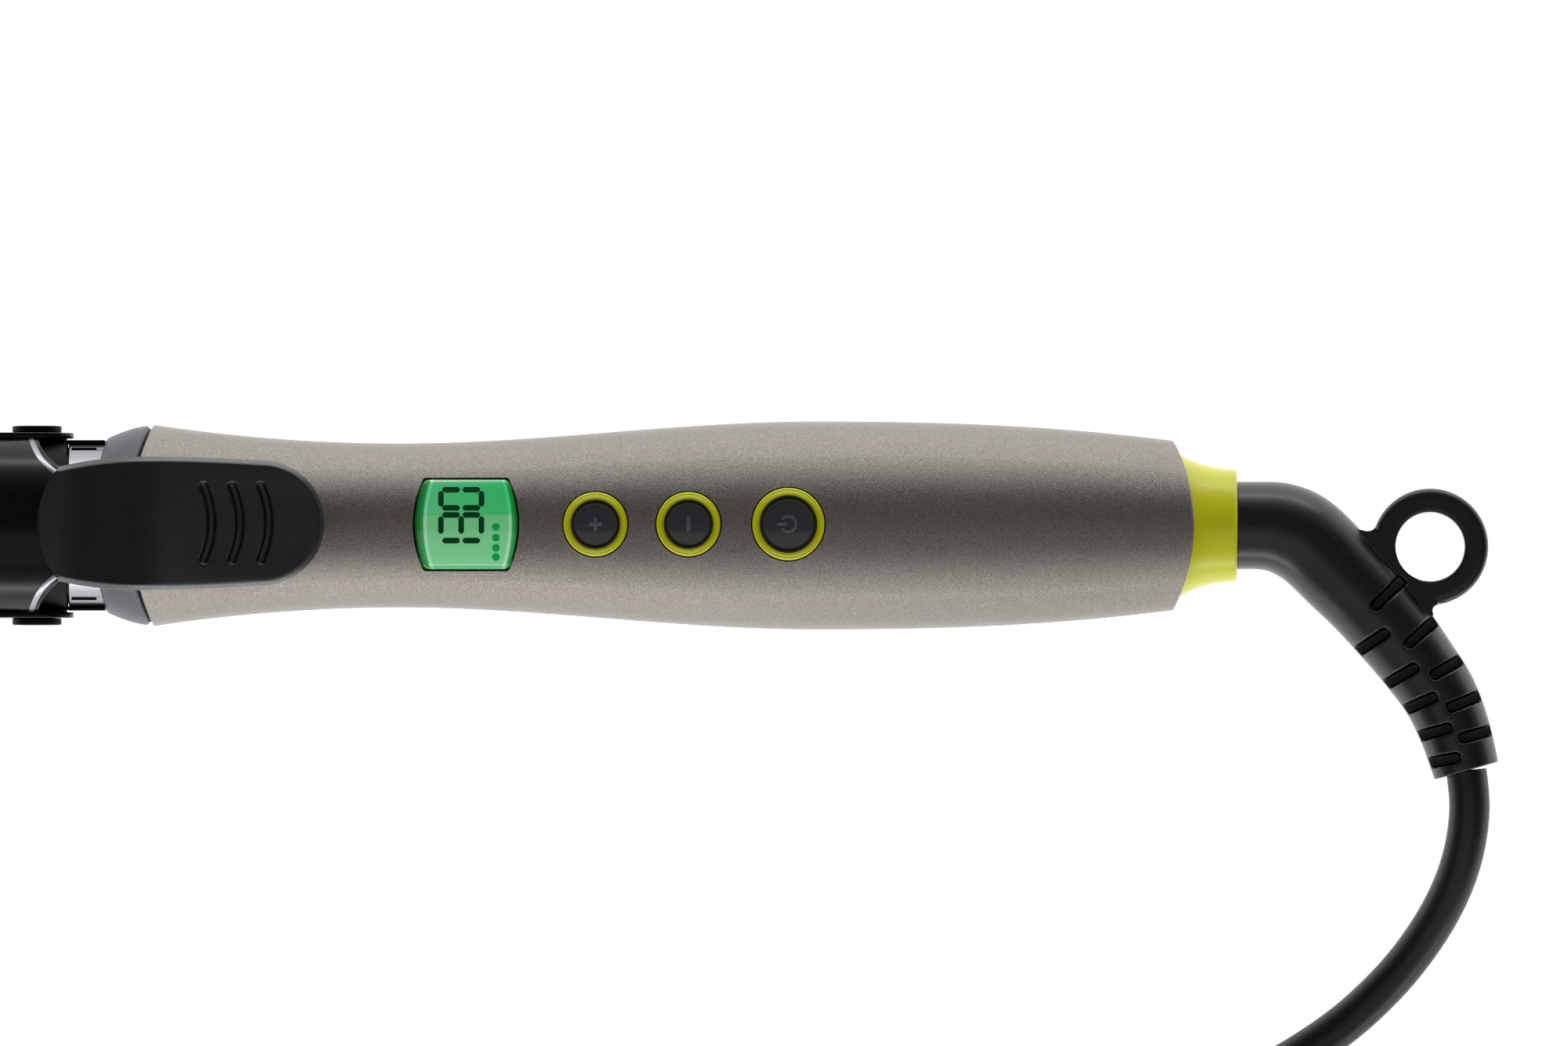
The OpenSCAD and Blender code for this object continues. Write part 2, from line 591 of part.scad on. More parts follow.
// ---- cord ----------------------------------------------------------------------------------
// Route of the cord in the part's own frame, from the elbow's end to the coil
lead_route = [[254.9, -39.1, 16.6], [255.4, -44.5, 16.3], [254.9, -50, 15.4], [253.5, -55.5, 13.8],
    [251.2, -60.8, 11.8], [248.2, -65.8, 9.6], [244.6, -70.6, 7.4], [240.5, -75, 5.6], [235.8, -79.2, 4.3],
    [230.5, -83, 3.6], [224.8, -86.4, 3.3], [218.6, -89.2, 3.25], [212.5, -91.2, 3.25], [207, -92.3, 3.25],
    [202, -92.75, 3.25]];
tail_route = [[171.9, -101.9, 8.9], [166.5, -107.4, 8.6], [161, -113, 8], [156, -118.8, 7.2],
    [151.6, -125, 6.4], [148.2, -131.4, 6], [146.2, -138, 6], [145.2, -144.5, 6.3], [145, -151, 6.8]];
coil_c = [pivot_x + 175, -132];
row_dz = cord_d * 0.866;

module route(points) sweep(points, [for (p = points) cord_d / 2], 10);
module cord_lead() color(black) route(lead_route);
module cord_tail() color(black) route(tail_route);
// Outer shape of seven turns wound two, three and two
module cord_coil() color(black) translate([coil_c[0], coil_c[1], 0])
    rotate_extrude($fn = 96) translate([coil_r, 0])
    polygon([[-6.5, 0], [6.5, 0], [9.75, row_dz], [9.75, row_dz + cord_d], [6.5, 2 * row_dz + cord_d],
        [-6.5, 2 * row_dz + cord_d], [-9.75, row_dz + cord_d], [-9.75, row_dz]]);

tie_t = 1.2;
module cord_tie() color("#1C1C1E") translate([coil_c[0] + coil_r, coil_c[1], 0]) rotate([90, 0, 0])
    translate([0, 0, -5]) linear_extrude(10) difference() {
        polygon([[-7.3, 0], [7.3, 0], [9.75 + tie_t, row_dz - 0.5], [9.75 + tie_t, row_dz + cord_d + 0.5],
            [7.3, 2 * row_dz + cord_d + tie_t], [-7.3, 2 * row_dz + cord_d + tie_t],
            [-9.75 - tie_t, row_dz + cord_d + 0.5], [-9.75 - tie_t, row_dz - 0.5]]);
        polygon([[-6.7, 0.2], [6.7, 0.2], [9.85, row_dz], [9.85, row_dz + cord_d],
            [6.6, 2 * row_dz + cord_d + 0.1],
            [-6.6, 2 * row_dz + cord_d + 0.1], [-9.85, row_dz + cord_d], [-9.85, row_dz]]);
    }

plug_x = 145;
plug_y = -151;
plug_z = 6.8;
plug_l = 34;
pin_r = 2.0;
pin_root_r = 1.4;
pin_l = 18;
module plug_body() color(black) difference() {
    translate([plug_x, plug_y, plug_z]) union() {
        rotate([90, 0, 0]) cylinder(h = 14, r1 = 4.0, r2 = 5.2);
        hull() {
            translate([0, -13, 0]) cube([13, 1, 9], center = true);
            translate([0, -24, 0]) cube([31, 1, 13.4], center = true);
        }
        hull() for (x = [-11.1, 11.1]) translate([x, -24, 0])
            rotate([90, 0, 0]) cylinder(h = 10, r = 6.7, $fn = 32);
    }
    at_pins(-8) cylinder(h = 10, r = pin_root_r);
}
// Both pins, from a place measured along them out of the plug's face
module at_pins(z) for (x = [-9.5, 9.5]) translate([plug_x + x, plug_y - plug_l - z, plug_z])
    rotate([90, 0, 0]) children();
module plug_pins() color(steel) {
    at_pins(-8) cylinder(h = 8, r = pin_root_r);
    at_pins(0) cylinder(h = pin_l, r = pin_r);
    at_pins(pin_l) cylinder(h = 1, r1 = pin_r, r2 = 1.2);
}

handle_top_shell();
handle_bottom_shell();
shell_screws();
front_collar();
neck_sleeve();
hinge_collar();
clamp_rivets();
barrel_tube();
barrel_tip();
heater_block_upper();
heater_block_lower();
ptc_stack();
insulating_film();
lead_support_ring();
thermistor();
thermal_fuse();
heater_leads();
supply_leads();
circuit_board();
tact_switches();
film_capacitor();
triac();
lcd_backlight();
lcd_panel();
lcd_window();
plus_ring();
minus_ring();
power_ring();
rear_collar();
swivel_socket();
swivel_contacts();
clamp_plate();
clamp_spring();
thumb_lever();
lever_screws();
plus_button();
minus_button();
power_button();
stand_leg();
stand_pin();
swivel_elbow();
slip_rings();
cord_lead();
cord_coil();
cord_tail();
cord_tie();
plug_body();
plug_pins();
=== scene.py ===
from math import acos, asin, atan2, cos, degrees, hypot, pi, radians, sin, sqrt, tan

import bmesh
import bpy
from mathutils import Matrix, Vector


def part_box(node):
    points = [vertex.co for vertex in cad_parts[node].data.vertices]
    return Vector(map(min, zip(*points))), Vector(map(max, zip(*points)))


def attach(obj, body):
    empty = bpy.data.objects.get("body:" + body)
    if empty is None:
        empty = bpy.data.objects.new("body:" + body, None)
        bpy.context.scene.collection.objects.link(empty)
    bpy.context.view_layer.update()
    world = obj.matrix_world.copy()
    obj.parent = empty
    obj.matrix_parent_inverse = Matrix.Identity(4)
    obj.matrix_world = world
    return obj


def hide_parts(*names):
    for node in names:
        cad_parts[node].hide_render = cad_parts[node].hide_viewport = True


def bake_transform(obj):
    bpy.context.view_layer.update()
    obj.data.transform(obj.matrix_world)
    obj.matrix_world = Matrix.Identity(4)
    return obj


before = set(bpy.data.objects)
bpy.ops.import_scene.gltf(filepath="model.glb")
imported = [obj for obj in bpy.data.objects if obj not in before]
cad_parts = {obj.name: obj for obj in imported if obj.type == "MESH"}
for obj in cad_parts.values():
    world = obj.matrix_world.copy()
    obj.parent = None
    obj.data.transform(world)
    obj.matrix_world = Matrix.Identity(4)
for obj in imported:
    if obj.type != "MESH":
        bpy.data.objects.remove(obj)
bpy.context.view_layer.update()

# ---- places taken from the frame
MM = 0.001
PIVOT_X = sum(corner.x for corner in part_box("clamp_rivets")) / 2
AXIS_Z = sum(corner.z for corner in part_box("barrel_tube")) / 2
BARREL_R = (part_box("barrel_tube")[1].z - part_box("barrel_tube")[0].z) / 2 / MM


def to_row(x, y, z):
    """A point given in millimetres about the clamp pivot, in the row frame in metres."""
    return (PIVOT_X + x * MM, y * MM, AXIS_Z + z * MM)


def new_object(name, data):
    obj = bpy.data.objects.new(name, data)
    bpy.context.scene.collection.objects.link(obj)
    return obj


# ---- camera
VIEW_W = 0.25
VIEW_DISTANCE = 7
VIEW_LEAN = 0.015
camera = new_object("camera", bpy.data.cameras.new("camera"))
camera.location = (PIVOT_X + 119.1 * MM, 0.4 * MM - VIEW_DISTANCE * sin(VIEW_LEAN),
                   AXIS_Z + VIEW_DISTANCE * cos(VIEW_LEAN))
camera.rotation_euler = (VIEW_LEAN, 0, 0)
camera.data.lens = camera.data.sensor_width * VIEW_DISTANCE / VIEW_W
camera.data.clip_end = 20
bpy.context.scene.camera = camera
bpy.context.scene.view_settings.view_transform = "Standard"


# ---- mesh helpers
MERGE = 1e-7


def add_mesh(name, verts, faces, sharp=35, row=False):
    """A piece from points in millimetres about the pivot or, with row set, in metres in the row frame."""
    mesh = bpy.data.meshes.new(name)
    mesh.from_pydata(verts if row else [to_row(*v) for v in verts], [], faces)
    mesh.validate()
    bm = bmesh.new()
    bm.from_mesh(mesh)
    bmesh.ops.remove_doubles(bm, verts=bm.verts, dist=MERGE)
    bmesh.ops.dissolve_degenerate(bm, edges=bm.edges, dist=MERGE)
    bmesh.ops.recalc_face_normals(bm, faces=bm.faces)
    bm.to_mesh(mesh)
    bm.free()
    return shade(new_object(name, mesh), sharp)


def shade(obj, sharp=35):
    obj.data.shade_smooth()
    if sharp:
        obj.data.set_sharp_from_angle(angle=radians(sharp))
    return obj


def apply_modifier(obj, kind, **settings):
    modifier = obj.modifiers.new(kind, kind)
    for key, value in settings.items():
        setattr(modifier, key, value)
    dg = bpy.context.evaluated_depsgraph_get()
    mesh = bpy.data.meshes.new_from_object(obj.evaluated_get(dg))
    obj.modifiers.clear()
    obj.data = mesh
    return obj


def boolean(obj, cutters, operation="DIFFERENCE", sharp=35):
    for cutter in cutters:
        apply_modifier(obj, "BOOLEAN", operation=operation, object=cutter, solver="EXACT")
        bpy.data.objects.remove(cutter)
    return shade(obj, sharp)


def skin(loops, n, closed=True, wrap=False):
    """Faces between loops of n points; closed joins each loop's ends, wrap joins the last loop to the first."""
    faces = []
    for i in range(loops if wrap else loops - 1):
        a, b = i * n, (i + 1) % loops * n
        faces += [(a + k, a + (k + 1) % n, b + (k + 1) % n, b + k) for k in range(n if closed else n - 1)]
    return faces


def flat_ends(loops, n):
    """The first and the last loop as faces."""
    return [tuple(range(n - 1, -1, -1)), tuple(range((loops - 1) * n, loops * n))]


def folded_ends(loops, n):
    """End faces of a sheet whose loops run out along one side of it and back along the other."""
    return [(a + k, a + k + 1, a + n - 2 - k, a + n - 1 - k)
            for a in (0, (loops - 1) * n) for k in range(n // 2 - 1)]


def dome(loops, n):
    """Faces over loops that close on one last point, with a flat face under the first loop."""
    last = (loops - 1) * n
    fan = [(last + k, last + (k + 1) % n, last + n) for k in range(n)]
    return skin(loops, n) + fan + [tuple(range(n - 1, -1, -1))]


def lathe(name, profile, steps=128, closed=True, sharp=35, axis="x", centre=(0, 0, 0)):
    """A body of revolution from (along, radius) points, about a line through centre."""
    verts = []
    for k in range(steps):
        c, s = cos(2 * pi * k / steps), sin(2 * pi * k / steps)
        for along, r in profile:
            offset = {"x": (along, r * s, r * c), "y": (r * c, along, r * s), "z": (r * c, r * s, along)}[axis]
            verts.append(tuple(a + b for a, b in zip(centre, offset)))
    return add_mesh(name, verts, skin(steps, len(profile), closed, wrap=True), sharp)


def rounded(points, radius, steps=4):
    """Rounds the corners of a closed outline of points; radius is one number or one per corner."""
    out = []
    n = len(points)
    for i, p in enumerate(points):
        r = radius[i] if isinstance(radius, (list, tuple)) else radius
        if r <= 0:
            out.append(tuple(p))
            continue
        p, a, b = Vector(p), Vector(points[i - 1]), Vector(points[(i + 1) % n])
        u, v = (a - p).normalized(), (b - p).normalized()
        half = max(0.05, acos(max(-1, min(1, u.dot(v)))) / 2)
        cut = min(r / tan(half), (a - p).length * 0.49, (b - p).length * 0.49)
        s, t = p + u * cut, p + v * cut
        for k in range(steps + 1):
            w = k / steps
            out.append(tuple(s * (1 - w) ** 2 + p * 2 * w * (1 - w) + t * w ** 2))
    return out


def rect(x0, y0, x1, y1):
    return [(x0, y0), (x1, y0), (x1, y1), (x0, y1)]


def prism(name, outline, low, high, bevel=0, upright=True):
    """A block over an outline, its edges rounded by a bevel: upright it rises in Z, else it runs along Y."""
    verts = [(u, v, w) if upright else (u, w, v) for w in (low, high) for u, v in outline]
    obj = add_mesh(name, verts, flat_ends(2, len(outline)) + skin(2, len(outline)))
    if bevel:
        apply_modifier(obj, "BEVEL", width=bevel * MM, segments=3, limit_method="ANGLE", angle_limit=radians(50))
        shade(obj)
    return obj


def slab_y(name, outline, y0, y1, bevel=0):
    """A block with an outline in X and Z, between two values of Y."""
    return prism(name, outline, y0, y1, bevel, upright=False)


def tube(name, path, radii, sides, row=False):
    """A round tube swept along a path, with a parallel-carried frame so that it doesn't twist."""
    path = [Vector(p) for p in path]
    verts = []
    up = Vector((0, 0, 1))
    for i, p in enumerate(path):
        d = (path[min(i + 1, len(path) - 1)] - path[max(i - 1, 0)]).normalized()
        side = d.cross(up).normalized()
        up = side.cross(d).normalized()
        for k in range(sides):
            a = 2 * pi * k / sides
            verts.append(tuple(p + (side * cos(a) + up * sin(a)) * radii[i]))
    return add_mesh(name, verts, skin(len(path), sides) + flat_ends(len(path), sides), 50, row)


def smooth_curve(points, steps):
    """A Catmull-Rom curve through points."""
    pts = [Vector(p) for p in points]
    out = []
    for i in range(len(pts) - 1):
        a, b, c, d = pts[max(0, i - 1)], pts[i], pts[i + 1], pts[min(len(pts) - 1, i + 2)]
        for k in range(steps):
            t = k / steps
            out.append(0.5 * (2 * b + (c - a) * t + (2 * a - 5 * b + 4 * c - d) * t * t
                              + (3 * b - a - 3 * c + d) * t ** 3))
    return out + [pts[-1]]


def join(name, objs, sharp=35):
    """One mesh from several; each face keeps its material number."""
    bm = bmesh.new()
    for obj in objs:
        bm.from_mesh(obj.data)
        bpy.data.objects.remove(obj)
    mesh = bpy.data.meshes.new(name)
    bm.to_mesh(mesh)
    bm.free()
    return shade(new_object(name, mesh), sharp)


def smooth(t):
    t = max(0, min(1, t))
    return t * t * (3 - 2 * t)


def arc_points(cx, cy, r, a0, a1, n):
    """Points on an arc, its angles in degrees."""
    angles = [radians(a0 + (a1 - a0) * i / n) for i in range(n + 1)]
    return [(cx + r * cos(a), cy + r * sin(a)) for a in angles]


# ---- materials
def feed(tree, node, inputs):
    """Sets a node's inputs by name or number: an output is linked, anything else is a value."""
    for key, value in inputs.items():
        if isinstance(value, bpy.types.NodeSocket):
            tree.links.new(value, node.inputs[key])
        else:
            node.inputs[key].default_value = value


def add_node(tree, kind, inputs, **settings):
    node = tree.nodes.new("ShaderNode" + kind)
    for key, value in settings.items():
        setattr(node, key, value)
    feed(tree, node, inputs)
    return node


def add_math(tree, operation, *values):
    return add_node(tree, "Math", dict(enumerate(values)), operation=operation).outputs[0]


def remap(tree, value, low=0, high=1, to_low=0, to_high=1):
    """A value taken from one range to another."""
    return add_node(tree, "MapRange", {"Value": value, "From Min": low, "From Max": high, "To Min": to_low,
                                       "To Max": to_high}).outputs["Result"]


def ramp(tree, value, stops):
    """A colour ramp over (place, colour) stops, its two outer stops given first."""
    node = add_node(tree, "ValToRGB", {"Fac": value})
    elements = node.color_ramp.elements
    for index, (place, color) in enumerate(stops):
        element = elements[index] if index < 2 else elements.new(place)
        element.position = place
        element.color = (*color, 1)
    return node.outputs["Color"]


def multiply(tree, a, b, factor=1):
    """One colour times another."""
    return add_node(tree, "Mix", {"Factor": factor, "A": a, "B": b}, data_type="RGBA",
                    blend_type="MULTIPLY").outputs["Result"]


def srgb(r, g, b):
    """A linear colour from eight-bit display values."""
    return tuple(c / 12.92 if c <= 0.04045 else ((c + 0.055) / 1.055) ** 2.4 for c in (r / 255, g / 255, b / 255))


def material(name, color, roughness, vary, vary_scale, metal=0, bump=0, grain=800, rough_vary=0.08,
             coat=0, coat_rough=0.1, emission=None, strength=0, detail=4, stretch=(1, 1, 1), specular=0.5,
             edge=1):
    """A procedural material: its colour and roughness wander with noise, and a fine bump gives it grain."""
    mat = bpy.data.materials.new(name)
    mat.use_nodes = True
    tree = mat.node_tree
    shader = tree.nodes["Principled BSDF"]
    place = add_node(tree, "TexCoord", {}).outputs["Object"]
    place = add_node(tree, "Mapping", {"Vector": place, "Scale": stretch}).outputs["Vector"]
    noise = add_node(tree, "TexNoise", {"Vector": place, "Scale": vary_scale, "Detail": detail}).outputs["Fac"]
    darker = [c * (1 - vary) for c in srgb(*color)]
    lighter = [min(1, c * (1 + vary)) for c in srgb(*color)]
    feed(tree, shader, {
        "Base Color": ramp(tree, noise, [(0.3, darker), (0.7, lighter)]),
        "Roughness": remap(tree, noise, to_low=max(0.02, roughness - rough_vary),
                           to_high=min(1, roughness + rough_vary)),
        "Metallic": metal, "Coat Weight": coat, "Coat Roughness": coat_rough,
        "Specular IOR Level": specular, "Specular Tint": (edge, edge, edge, 1)})
    if bump:
        fine = add_node(tree, "TexNoise", {"Vector": place, "Scale": grain, "Detail": 3}).outputs["Fac"]
        bumper = add_node(tree, "Bump", {"Strength": bump, "Distance": 0.0002, "Height": fine})
        feed(tree, shader, {"Normal": bumper.outputs["Normal"]})
    if emission:
        feed(tree, shader, {"Emission Color": (*srgb(*emission), 1), "Emission Strength": strength})
    return mat


# Name, colour in eight-bit display values, roughness, how far the colour varies, the noise's scale
TAUPE = material("taupe_paint", (154, 148, 141), 0.34, 0.3, 4200, metal=0.85, bump=0.5, grain=6500,
                 rough_vary=0.06, coat=0.12, detail=2, edge=0.9)
GREY = material("grey_collar", (100, 101, 108), 0.42, 0.14, 2500, metal=0.35, bump=0.12, grain=3000)
# the lime plastic glows faintly (emission 0.1): painted light that stands in for more fill light on the rings and the
# rear collar
LIME = material("lime_plastic", (232, 233, 2), 0.36, 0.03, 150, rough_vary=0.03, coat=0.6, coat_rough=0.28,
                specular=0.4, emission=(232, 233, 2), strength=0.1)
BLACK = material("black_satin", (18, 18, 22), 0.36, 0.06, 900, bump=0.04, grain=4000, specular=0.6,
                 coat=1, coat_rough=0.26)
GLOSS = material("black_gloss", (66, 68, 74), 0.25, 0.08, 500, rough_vary=0.04, coat=0.6, coat_rough=0.08)
MARK = material("button_mark", (108, 111, 117), 0.25, 0.05, 500, coat=0.6, coat_rough=0.08)
COATING = material("black_coating", (4, 4, 5), 0.22, 0.1, 1500, bump=0.03, grain=5000, rough_vary=0.05,
                   coat=0.05, specular=0.28)
ELBOW = material("black_rubber", (9, 9, 12), 0.36, 0.06, 900, bump=0.04, grain=4000, specular=0.6,
                 coat=0.3, coat_rough=0.25)
# near-black: the real colour of the hinge collar and the rivets, and painted shade where the neck trim fills the slots
# and the gap behind the front collar
BLACK_AND_SHADE = material("black_and_painted_shade", (3, 3, 4), 0.5, 0.1, 900, specular=0.15)
STEEL = material("bright_steel", (168, 169, 173), 0.28, 0.08, 700, metal=1, bump=0.06, grain=900,
                 stretch=(0.2, 6, 6), edge=0.35)
SPRING = material("spring_steel", (170, 172, 178), 0.25, 0.1, 900, metal=1)
CORD = material("cord_rubber", (24, 25, 28), 0.38, 0.15, 1200, bump=0.08, grain=3000)
TIE = material("tie_black", (36, 36, 38), 0.6, 0.2, 2500, bump=0.3, grain=2500)
PLUG = material("plug_black", (24, 24, 26), 0.45, 0.15, 900, bump=0.08, grain=3500)
NICKEL = material("pin_nickel", (206, 204, 196), 0.2, 0.06, 700, metal=1)
SEGMENT = material("segment_green", (3, 44, 18), 0.6, 0.1, 900, specular=0.08, emission=(5, 58, 26), strength=0.6)
DOT = material("dot_green", (10, 120, 56), 0.6, 0.06, 900, specular=0.08, emission=(14, 142, 66), strength=0.7)


def dress(obj, mat, body, slot, *nodes, second=None):
    """Gives a piece its materials, its body (none if it is blended) and hides the nodes it replaces; slot is not used.
    """
    obj.data.materials.append(mat)
    if second:
        obj.data.materials.append(second)
    if body:
        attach(obj, body)
    if nodes:
        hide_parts(*nodes)
    return obj


def use_second(obj):
    """Puts every face of a part on the second material of its piece."""
    for face in obj.data.polygons:
        face.material_index = 1
    return obj


# ---- the cord
CORD_D = 0.0065
LEAD_ROUTE = [(254.9, -39.1, 16.6), (255.4, -44.5, 16.3), (254.9, -50, 15.4), (253.5, -55.5, 13.8),
              (251.2, -60.8, 11.8), (248.2, -65.8, 9.6), (244.6, -70.6, 7.4), (240.5, -75, 5.6),
              (235.8, -79.2, 4.3), (230.5, -83, 3.6), (224.8, -86.4, 3.3), (218.6, -89.2, 3.25),
              (212.5, -91.2, 3.25), (207, -92.3, 3.25), (202, -92.75, 3.25)]
TAIL_ROUTE = [(171.9, -101.9, 8.9), (166.5, -107.4, 8.6), (161, -113, 8), (156, -118.8, 7.2), (151.6, -125, 6.4),
              (148.2, -131.4, 6), (146.2, -138, 6), (145.2, -144.5, 6.3), (145, -151, 6.8)]
COIL_R = 36
COIL_C = (202, -132)
STEP = CORD_D / MM
ROW = STEP * sqrt(3) / 2
# The places of the seven turns in the bundle: distance from the coil's middle, and height
TURNS = [(COIL_R + out * STEP, STEP / 2 + up * ROW)
         for out, up in ((0.5, 0), (-0.5, 0), (-1, 1), (0, 1), (-0.5, 2), (0.5, 2), (1, 1))]
START_ANGLE = 90
END_ANGLE = 135
SHIFT_ANGLE = 70
TURN_STEP = 7.5


def coil_points():
    """The turns of the coil: each holds its place in the bundle, then shifts to the next over SHIFT_ANGLE."""
    out = []
    total = 360 * len(TURNS) + END_ANGLE - START_ANGLE
    count = int(total / TURN_STEP)
    for i in range(1, count):
        swept = total * i / count
        turn = min(len(TURNS) - 1, int(swept // 360))
        part = swept - 360 * turn
        r, z = TURNS[turn]
        if turn + 1 < len(TURNS):
            w = smooth((part - (360 - SHIFT_ANGLE)) / SHIFT_ANGLE)
            r += (TURNS[turn + 1][0] - r) * w
            z += (TURNS[turn + 1][1] - z) * w
        a = radians(START_ANGLE + swept)
        out.append(Vector((COIL_C[0] + r * cos(a), COIL_C[1] + r * sin(a), z)))
    return out


def make_cord():
    curve = bpy.data.curves.new("mains_cord", "CURVE")
    curve.dimensions = "3D"
    curve.bevel_depth = CORD_D / 2
    curve.bevel_resolution = 6
    curve.use_fill_caps = True
    path = [p * MM for p in smooth_curve(LEAD_ROUTE, 3) + coil_points() + smooth_curve(TAIL_ROUTE, 3)]
    spline = curve.splines.new("POLY")
    spline.points.add(len(path) - 1)
    for point, place in zip(spline.points, path):
        point.co = (*place, 1)
    spline.use_smooth = True
    return new_object("mains_cord", curve), sum((b - a).length for a, b in zip(path, path[1:]))


cord, cord_length = make_cord()
dress(cord, CORD, "swivel", "cord_rubber", "cord_lead", "cord_coil", "cord_tail")


# ---- plug and tie
PLUG_LOW, PLUG_HIGH = [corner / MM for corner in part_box("plug_body")]
PLUG_X, PLUG_Z = (PLUG_LOW.x + PLUG_HIGH.x) / 2, (PLUG_LOW.z + PLUG_HIGH.z) / 2
PIN_REACH = 9.5
STRAP_T = 0.9


def stadium(half_w, half_h, n):
    """A flat-sided oval, as points round it."""
    straight = max(0, half_w - half_h)
    turns = [2 * pi * k / n for k in range(n)]
    return [(straight * max(-1, min(1, 4 * cos(a))) + half_h * cos(a), half_h * sin(a)) for a in turns]


def make_plug():
    # along the plug from the cord: (distance, half width, half height)
    stations = [(0, 3.9, 3.9), (0.4, 4.3, 4.3), (3.2, 4.4, 4.4), (3.4, 3.9, 3.9), (4.2, 3.9, 3.9), (4.4, 4.6, 4.6),
                (6.6, 4.7, 4.7), (6.8, 4.1, 4.1), (7.6, 4.1, 4.1), (7.8, 4.9, 4.9), (10, 5, 4.9), (12, 5.8, 4.8),
                (15, 8.4, 4.9), (18, 12, 5.6), (21, 15.6, 6.3), (23.5, 17.4, 6.6), (26, 17.75, 6.68),
                (32.8, 17.75, 6.68), (33.6, 17.5, 6.45), (34, 17, 6)]
    n = 64
    verts = [((PLUG_X + x) * MM, (PLUG_HIGH.y - d) * MM, (PLUG_Z + z) * MM)
             for d, w, h in stations for x, z in stadium(w, h, n)]
    return add_mesh("plug_shell", verts, skin(len(stations), n) + flat_ends(len(stations), n), 40, row=True)


def make_pins():
    """Two round pins, rooted inside the plug, their tips tapered."""
    steps = [(0, 2), (2, 2), (12, 2), (19.4, 2), (20.2, 1.85), (20.7, 1.5), (21, 1.2)]
    objs = []
    for x in (-PIN_REACH, PIN_REACH):
        path = [((PLUG_X + x) * MM, (PLUG_LOW.y + 2 - d) * MM, PLUG_Z * MM) for d, _ in steps]
        objs.append(tube("pin", path, [r * MM for _, r in steps], 40, row=True))
    return join("plug_pin_pair", objs)


plug = dress(make_plug(), PLUG, "swivel", "plug_black", "plug_body")
pins = dress(make_pins(), NICKEL, "swivel", "pin_nickel", "plug_pins")


def make_tie():
    """A hook-and-loop strap round the bundle, its section a rounded octagon."""
    mid_z = ROW + STEP / 2
    corners = [(6.7, 0.1), (9.9, ROW), (9.9, ROW + STEP), (6.7, 2 * ROW + STEP + 0.1)]
    inner = [(-6.7, 0.1)] + corners + [(-x, z) for x, z in corners[:0:-1]]
    ring = rounded(inner, 3, 4)
    inside = [(y, 0) for y in (-5, -4.7, 4.7, 5)]
    outside = [(5, 0.6 * STRAP_T), (4.7, STRAP_T), (-4.7, STRAP_T), (-5, 0.6 * STRAP_T)]
    verts = []
    for y, grow in inside + outside:
        for x, z in ring:
            k = 1 + grow / hypot(x, z - mid_z)
            verts.append(((COIL_C[0] + COIL_R + x * k) * MM, (COIL_C[1] + y) * MM,
                          max(0.02, mid_z + (z - mid_z) * k) * MM))
    return add_mesh("cord_strap", verts, skin(8, len(ring), wrap=True), 40, row=True)


tie = dress(make_tie(), TIE, "swivel", "tie_black", "cord_tie")


# ---- handle shells
BELLY_R, WAIST_R = 16.6, 13.1
BELLY_X, WAIST_X = 124, 58
FRONT_X, REAR_X = 15.1, 184.4
FRONT_BOW, REAR_BOW = 40, 31.3
WALL = 2
LCD_X, LCD_L, LCD_W = 68.5, 16.4, 14.3
# Each button: its place along the handle, its ring's radius and its cap's radius
BUTTONS = {"plus": (89.1, 5.1, 3.5), "minus": (103.9, 5.1, 3.5), "power": (119.8, 5.75, 4.15)}
SCREW_X, SCREW_Y, SCREW_BORE = (44, 160), (-6.2, 6.2), 2.4


def handle_r(x):
    if x < WAIST_X:
        return WAIST_R + 2.9 * ((WAIST_X - x) / 38.9) ** 2
    if x < BELLY_X:
        return WAIST_R + (BELLY_R - WAIST_R) * smooth((x - WAIST_X) / (BELLY_X - WAIST_X))
    return BELLY_R - 3.1 * ((x - BELLY_X) / 57.4) ** 2.4


def bowed(apex, bow, side, radius_at, a):
    """Where a surface of revolution meets an upright round cut, at angle a from the top."""
    x = apex
    for _ in range(12):
        y = radius_at(x) * sin(a)
        x = apex - side * (bow - sqrt(max(0, bow * bow - y * y)))
    return x


def shell_half(name, sign):
    """The upper (1) or the lower (-1) half shell, with rounded ends and a hairline at the split."""
    along = 230
    round_x = [0, 0.05, 0.15, 0.3, 0.5]
    round_dr = [0.42, 0.26, 0.12, 0.03, 0]
    angles = [-89.95, -89.1] + [-88 + 176 * i / 72 for i in range(73)] + [89.1, 89.95]
    n = len(angles)
    edge_dr = {0: 0.22, 1: 0.04, n - 2: 0.04, n - 1: 0.22}
    verts = []
    for i in range(along + 1):
        for k in [*range(n), *range(2 * n - 1, n - 1, -1)]:
            inner, k = k >= n, k % n
            a = radians(angles[k])
            x0 = bowed(FRONT_X, FRONT_BOW, -1, handle_r, a)
            x1 = bowed(REAR_X, REAR_BOW, 1, handle_r, a)
            if i < 5:
                x, dr = x0 + round_x[i], round_dr[i]
            elif i > along - 5:
                x, dr = x1 - round_x[along - i], round_dr[along - i]
            else:
                x, dr = x0 + 0.5 + (x1 - x0 - 1) * (i - 4) / (along - 8), 0
            r = handle_r(x) - (WALL if inner else dr + edge_dr.get(k, 0))
            verts.append((x, r * sin(a), sign * r * cos(a)))
    return add_mesh(name, verts, skin(along + 1, 2 * n) + folded_ends(along + 1, 2 * n), 40)


